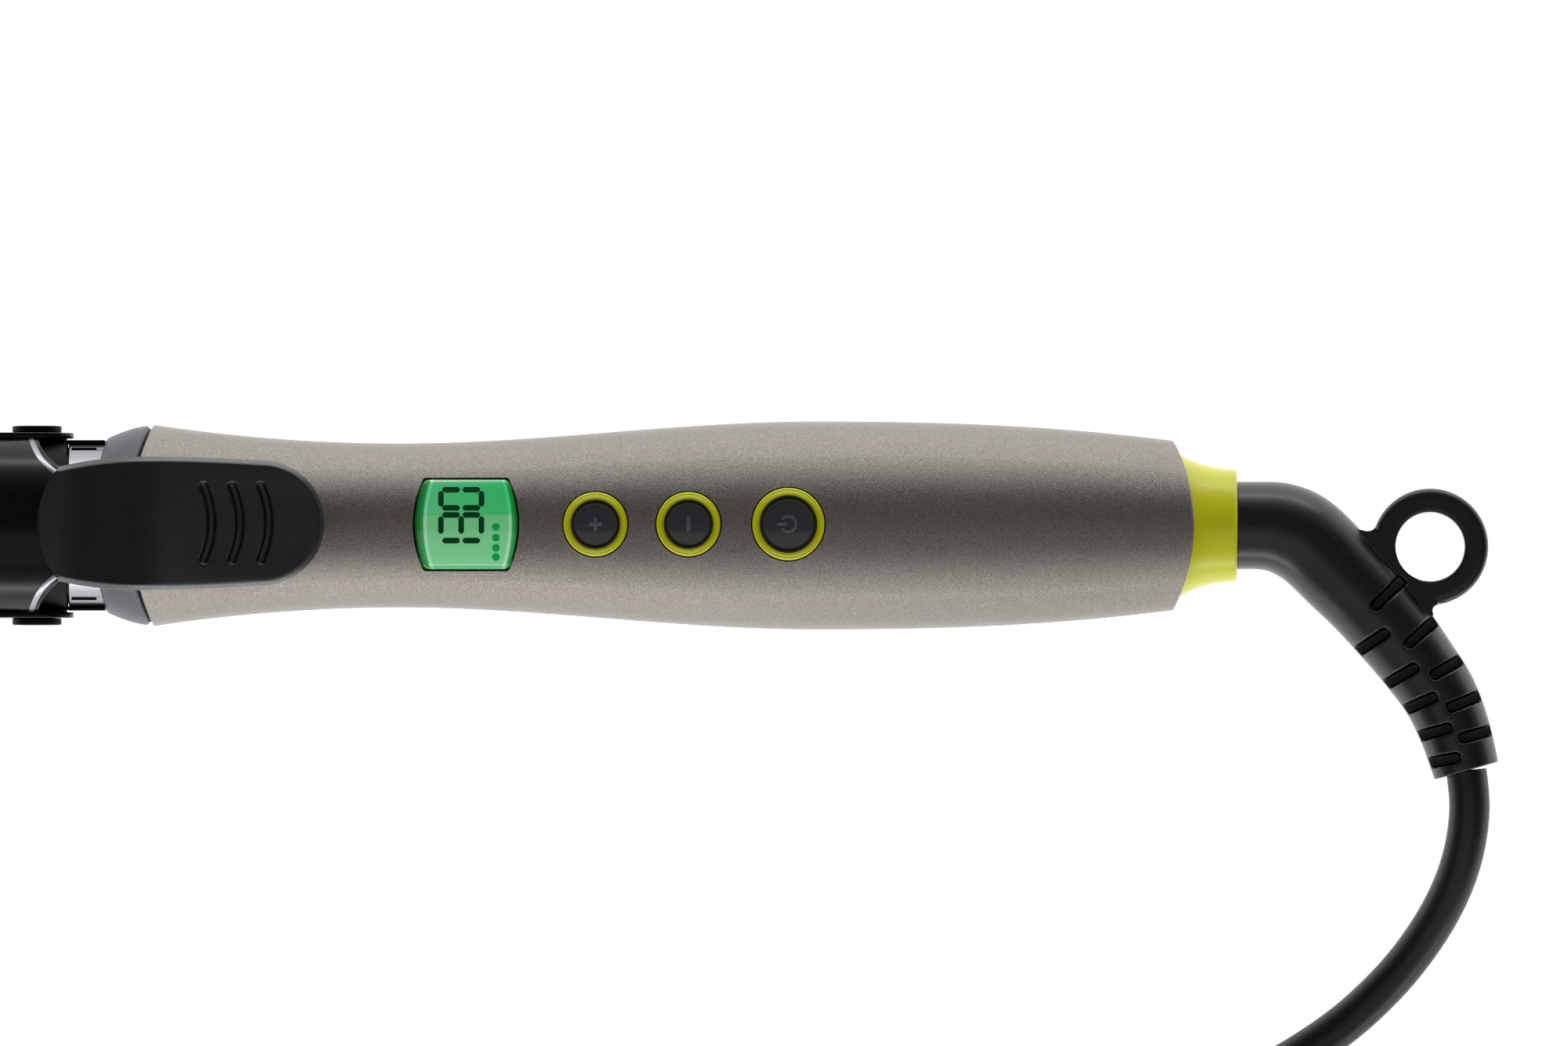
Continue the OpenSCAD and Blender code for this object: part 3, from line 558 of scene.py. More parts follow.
def lcd_outline(grow, bow=17, corner=1.1):
    """The display's plan: straight sides across the handle's width, bowed ends, small round corners."""
    half_l, half_w = LCD_L / 2 + grow, LCD_W / 2 + grow
    drop = degrees(asin(half_w / bow))
    points = (arc_points(LCD_X + half_l - bow, 0, bow, -drop, drop, 14)
              + arc_points(LCD_X - half_l + bow, 0, bow, 180 - drop, 180 + drop, 14))
    return rounded(points, [corner + grow if i in (0, 14, 15, 29) else 0 for i in range(len(points))], 5)


def make_top_shell():
    cutters = [prism("cut", lcd_outline(0.3), 6, 20)]
    cutters += [prism("cut", arc_points(x, 0, r_out + 0.22, 0, 357, 119), 6, 22) for x, r_out, _ in BUTTONS.values()]
    return boolean(shell_half("upper_shell", 1), cutters, sharp=40)


def make_bottom_shell():
    cutters = [prism("cut", arc_points(x, y, SCREW_BORE, 0, 354, 59), -22, -6) for x in SCREW_X for y in SCREW_Y]
    return boolean(shell_half("lower_shell", -1), cutters, sharp=40)


dress(make_top_shell(), TAUPE, "handle", "taupe_paint", "handle_top_shell")
dress(make_bottom_shell(), TAUPE, "handle", "taupe_paint", "handle_bottom_shell")


# ---- front collar, neck and hinge collar
NECK_R = 13.55
NECK_BORE = BARREL_R + 0.02
NECK_SLOTS = (-11.75, 12.1)
STAND_PIN, KNUCKLE_R = (1, -14.45), 1.9


def front_collar_r(x):
    return 13.9 + 2.02 * sin(radians(90 * max(0, min(1, (x - 11.2) / 7.4))))


def make_front_collar():
    """A ring that flares from the neck to the shells; both its edges bow in plan."""
    steps, along = 144, 26
    bore = NECK_R + 0.02
    verts = []
    for k in range(steps):
        a = 2 * pi * k / steps
        x0 = bowed(9, 46, -1, front_collar_r, a)
        x1 = bowed(FRONT_X - 0.52, 40.4, -1, handle_r, a)
        section = []
        for i in range(along + 1):
            x = x0 + (x1 - x0) * i / along
            lip = 0.3 * max(0, 1 - (x - x0) / 0.35) ** 2 + 0.35 * max(0, 1 - (x1 - x) / 0.45) ** 2
            section.append((x, front_collar_r(x) - lip))
        verts += [(x, r * sin(a), r * cos(a)) for x, r in section + [(x1, bore), (x0, bore)]]
    return add_mesh("grey_collar", verts, skin(steps, along + 3, wrap=True), 40)


def make_neck():
    outline = rounded([(5.15, NECK_BORE), (5.15, NECK_R), (20.9, NECK_R), (20.9, NECK_BORE)], [0, 0.25, 0.1, 0], 3)
    return boolean(lathe("bright_neck", outline, 160),
                   [prism("cut", neck_slot(y, 0.22), -16, 16) for y in NECK_SLOTS])


def neck_slot(y, half):
    return rect(5.6, y - half, 9.6, y + half)


def make_neck_trim():
    """Near-black inlays in the neck's slots, plates behind its sides and a liner under the front collar; the inlays
    and the liner are painted shade, in the slots and in the gap at the shells.
    """
    parts = []
    # the inlays fill the slots with near-black: painted shade inside them
    for y in NECK_SLOTS:
        z = sqrt(13.2 ** 2 - y * y)
        parts.append(prism("inlay", neck_slot(y, 0.2), -z, z))
    for y0, y1 in ((-13.55, -12.95), (12.95, 13.55)):
        parts.append(prism("plate", rect(4.9, y0, 10.9, y1), -4.6, 4.6, 0.12))
    # the liner shows as the dark gap between the front collar and the shells: painted shade
    liner = [(x, front_collar_r(x) - 0.5) for x in (11.8, 12.6, 13.4, 14.2, 15, 16, 17, 18.2)]
    parts.append(lathe("liner", liner + [(18.2, NECK_R + 0.05), (11.8, NECK_R + 0.05)], 128))
    return join("neck_trim", parts)


def make_hinge_collar():
    """The black ring at the clamp's pivot, with the two knuckles that the stand folds about."""
    outline = rounded([(-6, NECK_BORE), (-6, 13.68), (4.95, 13.68), (4.95, NECK_BORE)], [0, 0.4, 0.5, 0], 4)
    parts = [lathe("collar", outline, 160)]
    knuckle = arc_points(*STAND_PIN, KNUCKLE_R, 180, 360, 16) + [(2.9, -12.7), (-0.9, -12.7)]
    parts += [slab_y("knuckle", knuckle, y - 1.75, y + 1.75, 0.2) for y in (-5.8, 5.8)]
    return join("black_hinge_collar", parts)


dress(make_front_collar(), GREY, "handle", "grey_collar", "front_collar")
dress(make_neck(), STEEL, "handle", "bright_steel", "neck_sleeve")
dress(make_neck_trim(), BLACK_AND_SHADE, "handle", "black_satin")
dress(make_hinge_collar(), BLACK_AND_SHADE, "handle", "black_satin", "hinge_collar")


def make_rivets():
    # from the middle outwards: (distance, radius)
    profile = [(12.6, 0), (12.6, 1.5), (13.6, 1.5), (13.6, 4.85), (13.82, 4.85), (13.82, 2), (14.78, 2),
               (14.78, 3.1), (14.83, 3.1), (14.83, 3.8), (14.95, 3.93), (15.72, 3.93), (15.84, 3.8), (15.88, 3.4),
               (15.88, 2.7), (15.7, 2.45), (15.7, 0)]
    return join("pivot_rivets", [lathe("rivet", [(side * d, r) for d, r in profile], 64, closed=False, axis="y")
                                 for side in (-1, 1)])


dress(make_rivets(), BLACK_AND_SHADE, "handle", "black_gloss", "clamp_rivets")

# ---- barrel and tip
BARREL_X0, TIP_X0 = [(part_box(node)[0].x - PIVOT_X) / MM for node in ("barrel_tube", "barrel_tip")]


def make_barrel():
    outline = [(BARREL_X0, BARREL_R - 1), (BARREL_X0, BARREL_R), (9, BARREL_R), (9, BARREL_R - 1)]
    return lathe("coated_barrel", rounded(outline, [0, 0.15, 0.1, 0], 3), 160)


def make_tip():
    """The cool tip: a rounded end with two shallow grip rings."""
    r = BARREL_R
    outline = [(TIP_X0, 0)] + arc_points(TIP_X0 + 5, r - 5, 5, 180, 90, 15)
    for x in (TIP_X0 + 7.5, TIP_X0 + 10.5):
        outline += [(x - 0.7, r), (x - 0.35, r - 0.25), (x, r - 0.35), (x + 0.35, r - 0.25), (x + 0.7, r)]
    outline += [(BARREL_X0 - 0.2, r), (BARREL_X0, r - 0.2), (BARREL_X0, r - 1.05), (BARREL_X0 + 8, r - 1.05),
                (BARREL_X0 + 8, r - 2.6), (BARREL_X0 - 6, r - 2.6), (BARREL_X0 - 6, 0)]
    return lathe("cool_tip", outline, 128, closed=False)


dress(make_barrel(), COATING, "handle", "black_coating", "barrel_tube")
dress(make_tip(), BLACK, "handle", "black_satin", "barrel_tip")

# ---- clamp plate
SPOON_X0 = BARREL_X0 + 8
CLAMP_T = 1
EAR_IN, EAR_OUT, EAR_R = 13.85, 14.75, 5.9
NOSE_L = 12
FLARE_X0, FLARE_L = -42, 34
# The round hollows in the sheet's rear corners, between an ear and the lever
HOLLOW_X, HOLLOW_Y, HOLLOW_R = 8.6, 16.4, 8.83


def flare(x):
    return smooth((x - FLARE_X0) / FLARE_L)


def spoon_r(x):
    return BARREL_R + 0.3 + (EAR_IN - BARREL_R - 0.3) * flare(x)


def spoon_lift(x):
    return 0.55 * flare(x) + 0.12 * max(0, x)


def spoon_half(x):
    """Half of the sheet's wrap in radians: round at the nose, full along the barrel, hollowed at the ears."""
    d = x - SPOON_X0
    wrap = radians(84 + 8 * flare(x))
    if d < NOSE_L:
        wrap = radians(5 + 79 * sqrt(max(0, 1 - (1 - d / NOSE_L) ** 2)))
    if x > -0.2:
        reach = HOLLOW_Y - sqrt(max(0, HOLLOW_R ** 2 - (HOLLOW_X - x) ** 2))
        wrap = min(wrap, asin(min(1, reach / (spoon_r(x) + CLAMP_T / 2))))
    return wrap


def make_lip(side):
    """The turned-down edge of the sheet along the hollow between an ear and the lever; its bright steel is a painted
    highlight for the light that this edge catches.
    """
    steps = 48
    section = ((10.3, 0.08), (10.1, -0.02), (9.55, -0.12), (9.3, 0.02), (9.12, 0.4), (9.9, 0.9))
    verts = []
    for i in range(steps + 1):
        a = radians(190 + 46 * i / steps)
        for r, sink in section:
            x, y = HOLLOW_X + r * cos(a), HOLLOW_Y + r * sin(a)
            z = spoon_lift(x) + sqrt(max(0.6, (spoon_r(x) + CLAMP_T) ** 2 - y * y)) - sink
            verts.append((x, side * y, z))
    n = len(section)
    return use_second(add_mesh("lip", verts, skin(steps + 1, n) + flat_ends(steps + 1, n), 40))


def make_clamp():
    nose = SPOON_X0 + NOSE_L
    stations = [nose - NOSE_L * cos(radians(a)) for a in range(0, 91, 5)]
    stations += [nose + (FLARE_X0 - nose) * i / 30 for i in range(1, 31)]
    stations += [FLARE_X0 + 0.8 * i for i in range(1, 52)]
    stations += [-0.2 + 4.1 * (i / 40) ** 1.6 for i in range(41)]
    arc = 72
    verts = []
    for x in stations:
        half, lift = spoon_half(x), spoon_lift(x)
        for i in range(2 * arc + 2):
            i, outer = (i, True) if i <= arc else (2 * arc + 1 - i, False)
            a = -half + 2 * half * i / arc
            # the sheet's long edges are rounded on their outer side
            round_off = {0: 0.22, 1: 0.05}.get(min(i, arc - i), 0)
            r = spoon_r(x) + (CLAMP_T - round_off if outer else 0)
            verts.append((x, r * sin(a), lift + r * cos(a)))
    loops, n = len(stations), 2 * arc + 2
    parts = [add_mesh("spoon", verts, skin(loops, n) + folded_ends(loops, n), 40)]
    for side in (-1, 1):
        outline = arc_points(0, 0, EAR_R, -115, 90, 40) + [(-6, 6.2), (-11, 6.4), (-11, 1.5), (-7, -0.6), (-4.5, -3.4)]
        y0, y1 = sorted((side * EAR_IN, side * EAR_OUT))
        hole = slab_y("hole", arc_points(0, 0, 2.05, 0, 354, 59), y0 - 1, y1 + 1)
        parts.append(boolean(slab_y("ear", outline, y0, y1, 0.2), [hole]))
    parts += [make_lip(side) for side in (-1, 1)]
    tongue = [(3 + 0.5 * i, lever_z(3 + 0.5 * i)) for i in range(16)]
    parts.append(slab_y("tongue", tongue + [(x, z - 0.8) for x, z in reversed(tongue)], -5, 5, 0.1))
    return join("clamp_spoon", parts, sharp=40)


# ---- thumb lever
LEVER_T = 3
GROOVES = (28.2, 32.7, 37.3)
GROOVE_BOW = 14
LEVER_X0, LEVER_X1 = 0.42, 46.1
# Where the lever's round front ends and its sides start
SIDES_X = 3.7
BEVEL_BLEND = 0.26


def lever_z(x):
    return 15.5 + 7.4 * smooth((x - 1) / 22) + 2 * max(0, (x - 22) / 24)


def lever_half(x):
    """Half of the lever's width in plan at x."""
    if x < SIDES_X:
        return sqrt(max(0, 13.6 ** 2 - (14 - x) ** 2))
    if x < 36:
        return 10.6 - 1.5 * ((17 - x) / 13.3) ** 2 * (1 if x < 17 else 0.22)
    return 9.93 * sqrt(max(0, 1 - ((x - 36) / 10.12) ** 2))


RIM_XS = [SIDES_X + (LEVER_X1 - SIDES_X) * (1 - cos(radians(i * 1.5))) / 2 for i in range(121)]
LEVER_RIM = [(x, lever_half(x)) for x in RIM_XS] + [(46.12, 0)]


def rim_distance(x, y):
    """How far a point of the lever is from the edge of its sides and its round end."""
    y = abs(y)
    best = 1e9
    for (x0, y0), (x1, y1) in zip(LEVER_RIM, LEVER_RIM[1:]):
        dx, dy = x1 - x0, y1 - y0
        t = max(0, min(1, ((x - x0) * dx + (y - y0) * dy) / (dx * dx + dy * dy + 1e-12)))
        best = min(best, hypot(x - x0 - t * dx, y - y0 - t * dy))
    return best


def groove_depth(x, y):
    """Depth of the three thumb grooves at a point: round-ended arcs that bow towards the cord."""
    depth = 0
    for apex in GROOVES:
        cx = apex - GROOVE_BOW
        limit = asin(5.8 / GROOVE_BOW)
        a = max(-limit, min(limit, atan2(y, x - cx)))
        d = hypot(x - cx - GROOVE_BOW * cos(a), y - GROOVE_BOW * sin(a))
        depth = max(depth, 0.8 * smooth((0.85 - d) / 0.5))
    return depth


def lever_top(x, y):
    """Height of the lever's face: bevelled at its edge, hollowed for the thumb and grooved."""
    fall = 0.95 * (hypot(max(0, 1 - rim_distance(x, y)), BEVEL_BLEND) - BEVEL_BLEND)
    front = min(1, (x - LEVER_X0) / 0.6) if x < SIDES_X else 1
    fall += 0.25 * (1 - front) ** 2
    crown = 0.35 * (y / 10.6) ** 2
    dish = 0.25 * smooth((x - 20) / 10) * (1 - smooth((abs(y) - 3) / 6))
    return lever_z(x) + LEVER_T - crown - fall - dish - groove_depth(x, y)


def make_lever():
    nu, nv = ((330, 120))
    verts = []
    for i in range(nu + 1):
        x = LEVER_X0 + (LEVER_X1 - LEVER_X0) * (1 - cos(pi * i / nu)) / 2
        ys = [lever_half(x) * sin((2 * j / nv - 1) * pi / 2) for j in range(nv + 1)]
        verts += [(x, y, lever_top(x, y)) for y in ys]
        verts += [(x, y, lever_z(x) + 0.02) for y in reversed(ys)]
    loops, n = nu + 1, 2 * nv + 2
    return add_mesh("thumb_pad", verts, skin(loops, n) + folded_ends(loops, n), 55)


# the steel second material goes only on the lips: a painted highlight along the sheet's edges
dress(make_clamp(), COATING, "clamp", "black_coating", "clamp_plate", second=STEEL)
dress(make_lever(), BLACK, "clamp", "black_satin", "thumb_lever")

LEAF_HALF_T = 0.18


def make_spring():
    """A bent leaf with a round fold at its front."""
    lower = [(14.85, 15.42), (13.4, 15.4)]
    fold = [(12.3, 15.42), (11.85, 15.55), (11.8, 15.85), (12.1, 16.35)]
    upper = [(12.65, 17.15), (13.2, 17.95), (13.7, 18.65), (14.2, 19.35), (14.7, 20.05)]
    line = [Vector(p) for p in lower + fold + upper]
    sides = [[], []]
    for i, p in enumerate(line):
        d = (line[min(len(line) - 1, i + 1)] - line[max(0, i - 1)]).normalized() * LEAF_HALF_T
        sides[0].append((p.x - d.y, p.y + d.x))
        sides[1].append((p.x + d.y, p.y - d.x))
    return slab_y("leaf_spring", sides[0] + sides[1][::-1], -2.5, 2.5, 0.05)


spring = dress(make_spring(), SPRING, None, "spring_steel", "clamp_spring")
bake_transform(spring)

# ---- display
LENS_SINK, PLATE_T = 0.12, 0.05


def display_green():
    """The lit face: a lighter lower part and a deeper upper part; at both bowed ends a painted highlight and then
    darker painted shade, and painted highlight lines near both long edges.
    """
    mat = material("display_lens", (118, 192, 136), 0.12, 0.15, 400, coat=1, coat_rough=0.03,
                   emission=(90, 190, 120), strength=0.5)
    tree = mat.node_tree
    place = add_node(tree, "TexCoord", {}).outputs["Object"]
    x, y, _ = add_node(tree, "SeparateXYZ", {"Vector": place}).outputs
    half_w, reach, bow_r = LCD_W / 2 * MM, LCD_L / 2 * MM, 22 * MM
    # the pale lines close to both long edges are painted highlights on the lens's rim
    across = ramp(tree, remap(tree, y, low=-half_w, high=half_w), [
        (0, srgb(60, 170, 96)), (1, srgb(150, 220, 165)), (0.03, srgb(74, 180, 106)),
        (0.045, srgb(160, 215, 170)), (0.07, srgb(116, 202, 140)), (0.588, srgb(112, 198, 132)),
        (0.612, srgb(66, 190, 108)), (0.93, srgb(46, 182, 98)), (0.965, srgb(62, 180, 106))])
    # the upper part is paler towards the barrel
    upper = ramp(tree, remap(tree, y, low=0.21 * half_w, high=0.25 * half_w), [(0, (0, 0, 0)), (1, (1, 1, 1))])
    fade = ramp(tree, remap(tree, x, low=to_row(LCD_X - 7, 0, 0)[0], high=to_row(LCD_X + 7, 0, 0)[0]),
                [(0, (2.1, 1.04, 1.5)), (1, (0.75, 1, 0.92))])
    # how far a point is from the display's middle, along the handle, with the bow of its ends taken off
    along = add_math(tree, "ABSOLUTE", add_math(tree, "SUBTRACT", x, to_row(LCD_X + 0.25, 0, 0)[0]))
    bow = add_math(tree, "MULTIPLY_ADD", add_math(tree, "MULTIPLY", y, y), 1 / (2 * bow_r), along)
    # the bands at the bowed ends: a bright painted highlight, then darker painted shade over the lens's chamfered ends
    painted_end_bands = ramp(tree, remap(tree, bow, low=reach - 1.8 * MM, high=reach + 0.2 * MM), [
        (0, (1, 1, 1)), (1, (0.02, 0.12, 0.05)), (0.1, (1.9, 1.25, 1.7)), (0.28, (1.9, 1.25, 1.7)),
        (0.37, (0.1, 0.6, 0.24)), (0.7, (0.03, 0.3, 0.1))])
    color = multiply(tree, multiply(tree, across, fade, upper), painted_end_bands)
    feed(tree, tree.nodes["Principled BSDF"], {"Base Color": color, "Emission Color": color})
    return mat


def lens_z(x, y):
    """Height of the lens's face: it follows the round handle, a little below its skin."""
    r = handle_r(x) - LENS_SINK
    return sqrt(max(0, r * r - y * y))


def make_lens():
    """A lens with a rounded rim, over rings of points drawn in from its outline."""
    outline = [Vector(p) for p in lcd_outline(0)]
    centre = Vector((LCD_X, 0))
    inwards = [(centre - p).normalized() for p in outline]
    rings = [(inset, dz, 1) for inset, dz in ((0, -1.6), (0, -0.45), (0.06, -0.18), (0.2, -0.04), (0.4, 0))]
    rings += [(0.4, 0, share) for share in (0.85, 0.7, 0.55, 0.4, 0.25, 0.12)]
    verts = []
    for inset, dz, share in rings:
        for p, inward in zip(outline, inwards):
            q = centre + (p + inward * inset - centre) * share
            verts.append((q.x, q.y, lens_z(q.x, q.y) + dz))
    verts.append((LCD_X, 0, lens_z(LCD_X, 0)))
    return add_mesh("display_lens_face", verts, dome(len(rings), len(outline)), 50)


def draped_plate(outline):
    """A thin plate over the lens, drawn in to its middle in steps so that it follows the curve."""
    n = len(outline)
    centre = Vector((sum(p[0] for p in outline) / n, sum(p[1] for p in outline) / n))
    loops = [(1, -0.2), (1, PLATE_T), (0.75, PLATE_T), (0.5, PLATE_T), (0.25, PLATE_T)]
    verts = []
    for share, dz in loops:
        for p in outline:
            q = centre + (Vector(p) - centre) * share
            verts.append((q.x, q.y, lens_z(q.x, q.y) + dz))
    verts.append((centre.x, centre.y, lens_z(*centre) + PLATE_T))
    return add_mesh("plate", verts, dome(len(loops), n), 40)


# Seven-segment digits that read towards +Y, their tops towards -X
DIGIT_TOP, DIGIT_H = 64.5, 6.45
SEG_W, SEG_GAP = 0.9, 0.22
LIT = {"1": "bc", "3": "abgcd", "0": "abcdef"}


def segment(x0, y0, x1, y1):
    """A bar with cut corners between two points, along X or along Y."""
    a, b = Vector((x0, y0)), Vector((x1, y1))
    d = (b - a).normalized()
    s, tip = Vector((-d.y, d.x)) * (SEG_W / 2), d * (SEG_W * 0.35)
    a, b = a + d * SEG_GAP, b - d * SEG_GAP
    return [a + s + tip, a + s * 0.4, a - s * 0.4, a - s + tip, b - s - tip, b - s * 0.4, b + s * 0.4, b + s - tip]


def digit(value, y0, width):
    """The lit bars of one digit."""
    x0, xm, x1 = DIGIT_TOP, DIGIT_TOP + DIGIT_H / 2, DIGIT_TOP + DIGIT_H
    y1 = y0 + width
    places = {"a": (x0, y0, x0, y1), "g": (xm, y0, xm, y1), "d": (x1, y0, x1, y1), "f": (x0, y0, xm, y0),
              "e": (xm, y0, x1, y0), "b": (x0, y1, xm, y1), "c": (xm, y1, x1, y1)}
    return [draped_plate(segment(*places[key])) for key in LIT[value]]


dress(make_lens(), display_green(), "handle", "display_lens", "lcd_window")
bars = digit("1", -5.3, 2.7) + digit("3", -1.72, 3.2) + digit("0", 2.62, 2.9)
dress(join("display_digits", bars), SEGMENT, "handle", "display_green")
dots = [draped_plate(arc_points(73.25, y, 0.62, 0, 340, 17)) for y in (-0.42, -2.15, -3.75, -5.2)]
dress(join("display_dots", dots), DOT, "handle", "display_green")


# ---- buttons
CAP_RISE = 0.3


def seat_z(x):
    """Height of the seat of a button's ring."""
    return handle_r(x) - 0.1


def make_ring(name, x, r_out, cap_r):
    r_in = cap_r + 0.3
    profile = [(-3.2, r_in), (-3.2, r_out), (-0.5, r_out), (0.1, r_out - 0.03), (0.3, r_out - 0.12),
               (0.42, r_out - 0.28), (0.42, r_out - 0.38), (0.36, r_out - 0.48), (-0.02, r_out - 0.9),
               (-0.5, r_in + 0.06), (-0.7, r_in)]
    return lathe(name, profile, 120, axis="z", centre=(x, 0, seat_z(x)), sharp=50)


def follow_handle(obj, x, z0):
    """Bends everything above z0 to the handle's curve across it."""
    for vert in obj.data.vertices:
        if vert.co.z > AXIS_Z + z0 * MM:
            vert.co.z -= (handle_r(x) - sqrt(handle_r(x) ** 2 - (vert.co.y / MM) ** 2)) * MM
    return obj


def make_cap(name, x, r):
    """A cap with a rounded edge, the wider collar that holds it in its ring, and its stem."""
    seat, top, r = seat_z(x), seat_z(x) + CAP_RISE, r - 0.02
    profile = [(top - 2.6, 0), (top - 2.6, r), (top - 1.2, r), (top - 0.62, r)]
    profile += [(z, d) for d, z in arc_points(r - 0.5, top - 0.5, 0.5, 10, 90, 8)]
    profile += [(top, (r - 0.5) * k / 10) for k in range(9, -1, -1)]
    collar = [(seat - 4.4, 0), (seat - 4.4, r + 0.55), (seat - 3.35, r + 0.55), (seat - 3.35, r - 0.4),
              (top - 2.6, r - 0.4), (top - 2.6, 0)]
    stem = [(8.8, 0), (8.8, 1.5), (seat - 4.4, 1.5), (seat - 4.4, 0)]
    cap = lathe(name, profile, 96, closed=False, axis="z", centre=(x, 0, 0), sharp=50)
    return [follow_handle(cap, x, top - 1)] + [lathe("part", part, steps, closed=False, axis="z", centre=(x, 0, 0))
                                               for part, steps in ((collar, 96), (stem, 48))]


def raised(outline, x):
    """A symbol that stands a little proud of its cap."""
    top = seat_z(x) + CAP_RISE
    return use_second(follow_handle(prism("mark", outline, top - 0.15, top + 0.13, 0.05), x, 0))


def bar(x, y, half_x, half_y):
    return rounded(rect(x - half_x, y - half_y, x + half_x, y + half_y), 0.22, 4)


def marks(name, x):
    """A button's symbol: a plus, a minus, or an open ring with a bar in its gap."""
    if name == "plus":
        return [bar(x, 0, 1.05, 0.3), bar(x, 0, 0.3, 1.05)]
    if name == "minus":
        return [bar(x, 0, 0.32, 1.15)]
    ring = arc_points(x, 0, 1.45, -145, 145, 40) + arc_points(x, 0, 0.98, 145, -145, 40)
    return [ring, bar(x - 1, 0, 0.85, 0.24)]


for name, (x, r_out, cap_r) in BUTTONS.items():
    dress(make_ring(name + "_bezel", x, r_out, cap_r), LIME, "handle", "lime_plastic", name + "_ring")
    parts = make_cap(name + "_cap", x, cap_r) + [raised(outline, x) for outline in marks(name, x)]
    dress(join(name + "_cap", parts, 50), GLOSS, name + "_key", "black_gloss", name + "_button", second=MARK)
    # the black well fills the gap round each cap: painted shade for the dark gap between cap and ring
    well = [(z, cap_r + gap) for z, gap in ((-3.2, 0.1), (-3.2, 0.28), (-0.6, 0.28), (-0.38, 0.44), (-0.38, 0.1))]
    dress(lathe(name + "_well", well, 96, axis="z", centre=(x, 0, seat_z(x))), BLACK, "handle", "black_satin")


# ---- rear collar and elbow
def make_rear_collar():
    """The yellow-green collar: a lip inside the shells, then a flare that narrows towards the elbow."""
    outline = [(176, 7.07), (176, 11.6), (177.7, 11.6), (177.7, 11.2), (182.5, 11.2)]
    for i in range(1, 25):
        x = 182.5 + i / 3
        outline.append((x, 9 + 2.2 * ((190.9 - x) / 8.4) ** 2))
    outline += [(190.85, 8.96), (191.1, 8.85), (191.25, 8.6), (191.3, 8.3), (191.3, 7.5), (191.2, 7.2), (190.9, 7.07)]
    return lathe("lime_collar", outline, 144, sharp=40)


ELBOW_PATH = [(191, 0), (194.5, 0), (197.9, -0.3), (201, -1.45), (203.9, -3.6), (207.9, -7.65), (212.1, -11.95),
              (216.9, -17.65), (220.5, -22.4), (223.6, -27), (226, -32.6), (227.9, -39.1)]
ELBOW_R = [7, 7, 7.2, 7.3, 7.15, 7, 6.8, 6.5, 6.2, 6, 5.7, 5.3]
# The hang ring: its middle, its hole, its rim and its thickness
RING_C, HANG_R, RING_R, HANG_T = (222.1, -3.4), 5.5, 9.3, 5
SLOT_W, SLOT_FLOOR = 1.9, 1.3
# Each slot of the strain relief: its mouth at one side of the elbow, and its round inner end
SLOTS = [((210.5, -20.15), (214.7, -17.3)), ((215.4, -25.2), (219.4, -22.8)), ((218.2, -29.4), (222.4, -27.5)),
         ((220.4, -33.6), (224.8, -32.4)), ((221.8, -37.9), (226.1, -37.1)), ((216.9, -9.4), (213.4, -12.8)),
         ((222.1, -15.8), (218.75, -18.8)), ((226.8, -21.5), (222.8, -23.8)), ((229.8, -27.2), (225.4, -29)),
         ((231.6, -32.7), (227.3, -33.9))]
# The web between ring and elbow: its outline, turned and moved from the ring's middle
WEB_TURN, WEB_Y = radians(-51), -6.35
WEB = [(-10, -2.2), (-9.6, -0.95), (-8.9, -0.4), (-8.35, 0), (-8, 0.5), (-7.85, 1), (-7.95, 1.52),
       (7.95, 1.52), (7.84, 1.18), (7.82, 0.83), (7.88, 0.56), (8.09, 0.29), (8.4, 0.08), (8.8, 0), (8.8, -2)]


def slot_cutter(mouth, end, low, high):
    """A pocket's cutter: straight from its mouth, with a round inner end."""
    mouth, end = Vector(mouth), Vector(end)
    d = (mouth - end).normalized()
    turn = degrees(atan2(d.y, d.x))
    s, far = Vector((-d.y, d.x)) * (SLOT_W / 2), mouth + d * 1.2
    return prism("slot", arc_points(*end, SLOT_W / 2, turn + 90, turn + 270, 16) + [far - s, far + s], low, high)


def make_elbow():
    """The bent swivel piece: body, hang ring and web, remeshed together so that they blend."""
    path = [(*p, 0) for p in smooth_curve(ELBOW_PATH, 8)]
    radii = [v.x for v in smooth_curve([(r, 0) for r in ELBOW_R], 8)]
    body = tube("elbow", path, radii, 96)
    half = HANG_T / 2
    ring_profile = rounded([(-half, HANG_R), (-half, RING_R), (half, RING_R), (half, HANG_R)], [0.5, 1.5, 1.5, 0.5], 6)
    ring = lathe("ring", ring_profile, 128, axis="z", centre=(*RING_C, 0))
    c, s = cos(WEB_TURN), sin(WEB_TURN)
    turned = [(x * c - (y + WEB_Y) * s + RING_C[0], x * s + (y + WEB_Y) * c + RING_C[1]) for x, y in WEB]
    boolean(body, [ring, prism("web", turned, -half, half)], "UNION")
    hole = prism("hole", arc_points(*RING_C, HANG_R, 0, 355, 71), -8, 8)
    levels = ((SLOT_FLOOR, 9), (-9, -SLOT_FLOOR))
    boolean(body, [hole] + [slot_cutter(*slot, *level) for slot in SLOTS for level in levels])
    voxel = 0.2
    apply_modifier(body, "REMESH", mode="VOXEL", voxel_size=voxel * MM)
    apply_modifier(body, "SMOOTH", factor=0.5, iterations=4)
    shade(body, 0)
    neck = [(176, 4.2), (176, 7), (181, 7), (181, 8.6), (183, 8.6), (183, 7), (191.4, 7), (191.4, 4.2)]
    tail = [(166.6, 0), (166.6, 4.2), (176.2, 4.2), (176.2, 0)]
    return join("swivel_arm", [body, lathe("neck", neck, 96), lathe("tail", tail, 64, closed=False)], 50)


dress(make_rear_collar(), LIME, "handle", "lime_plastic", "rear_collar")
dress(make_elbow(), ELBOW, "swivel", "black_satin", "swivel_elbow")


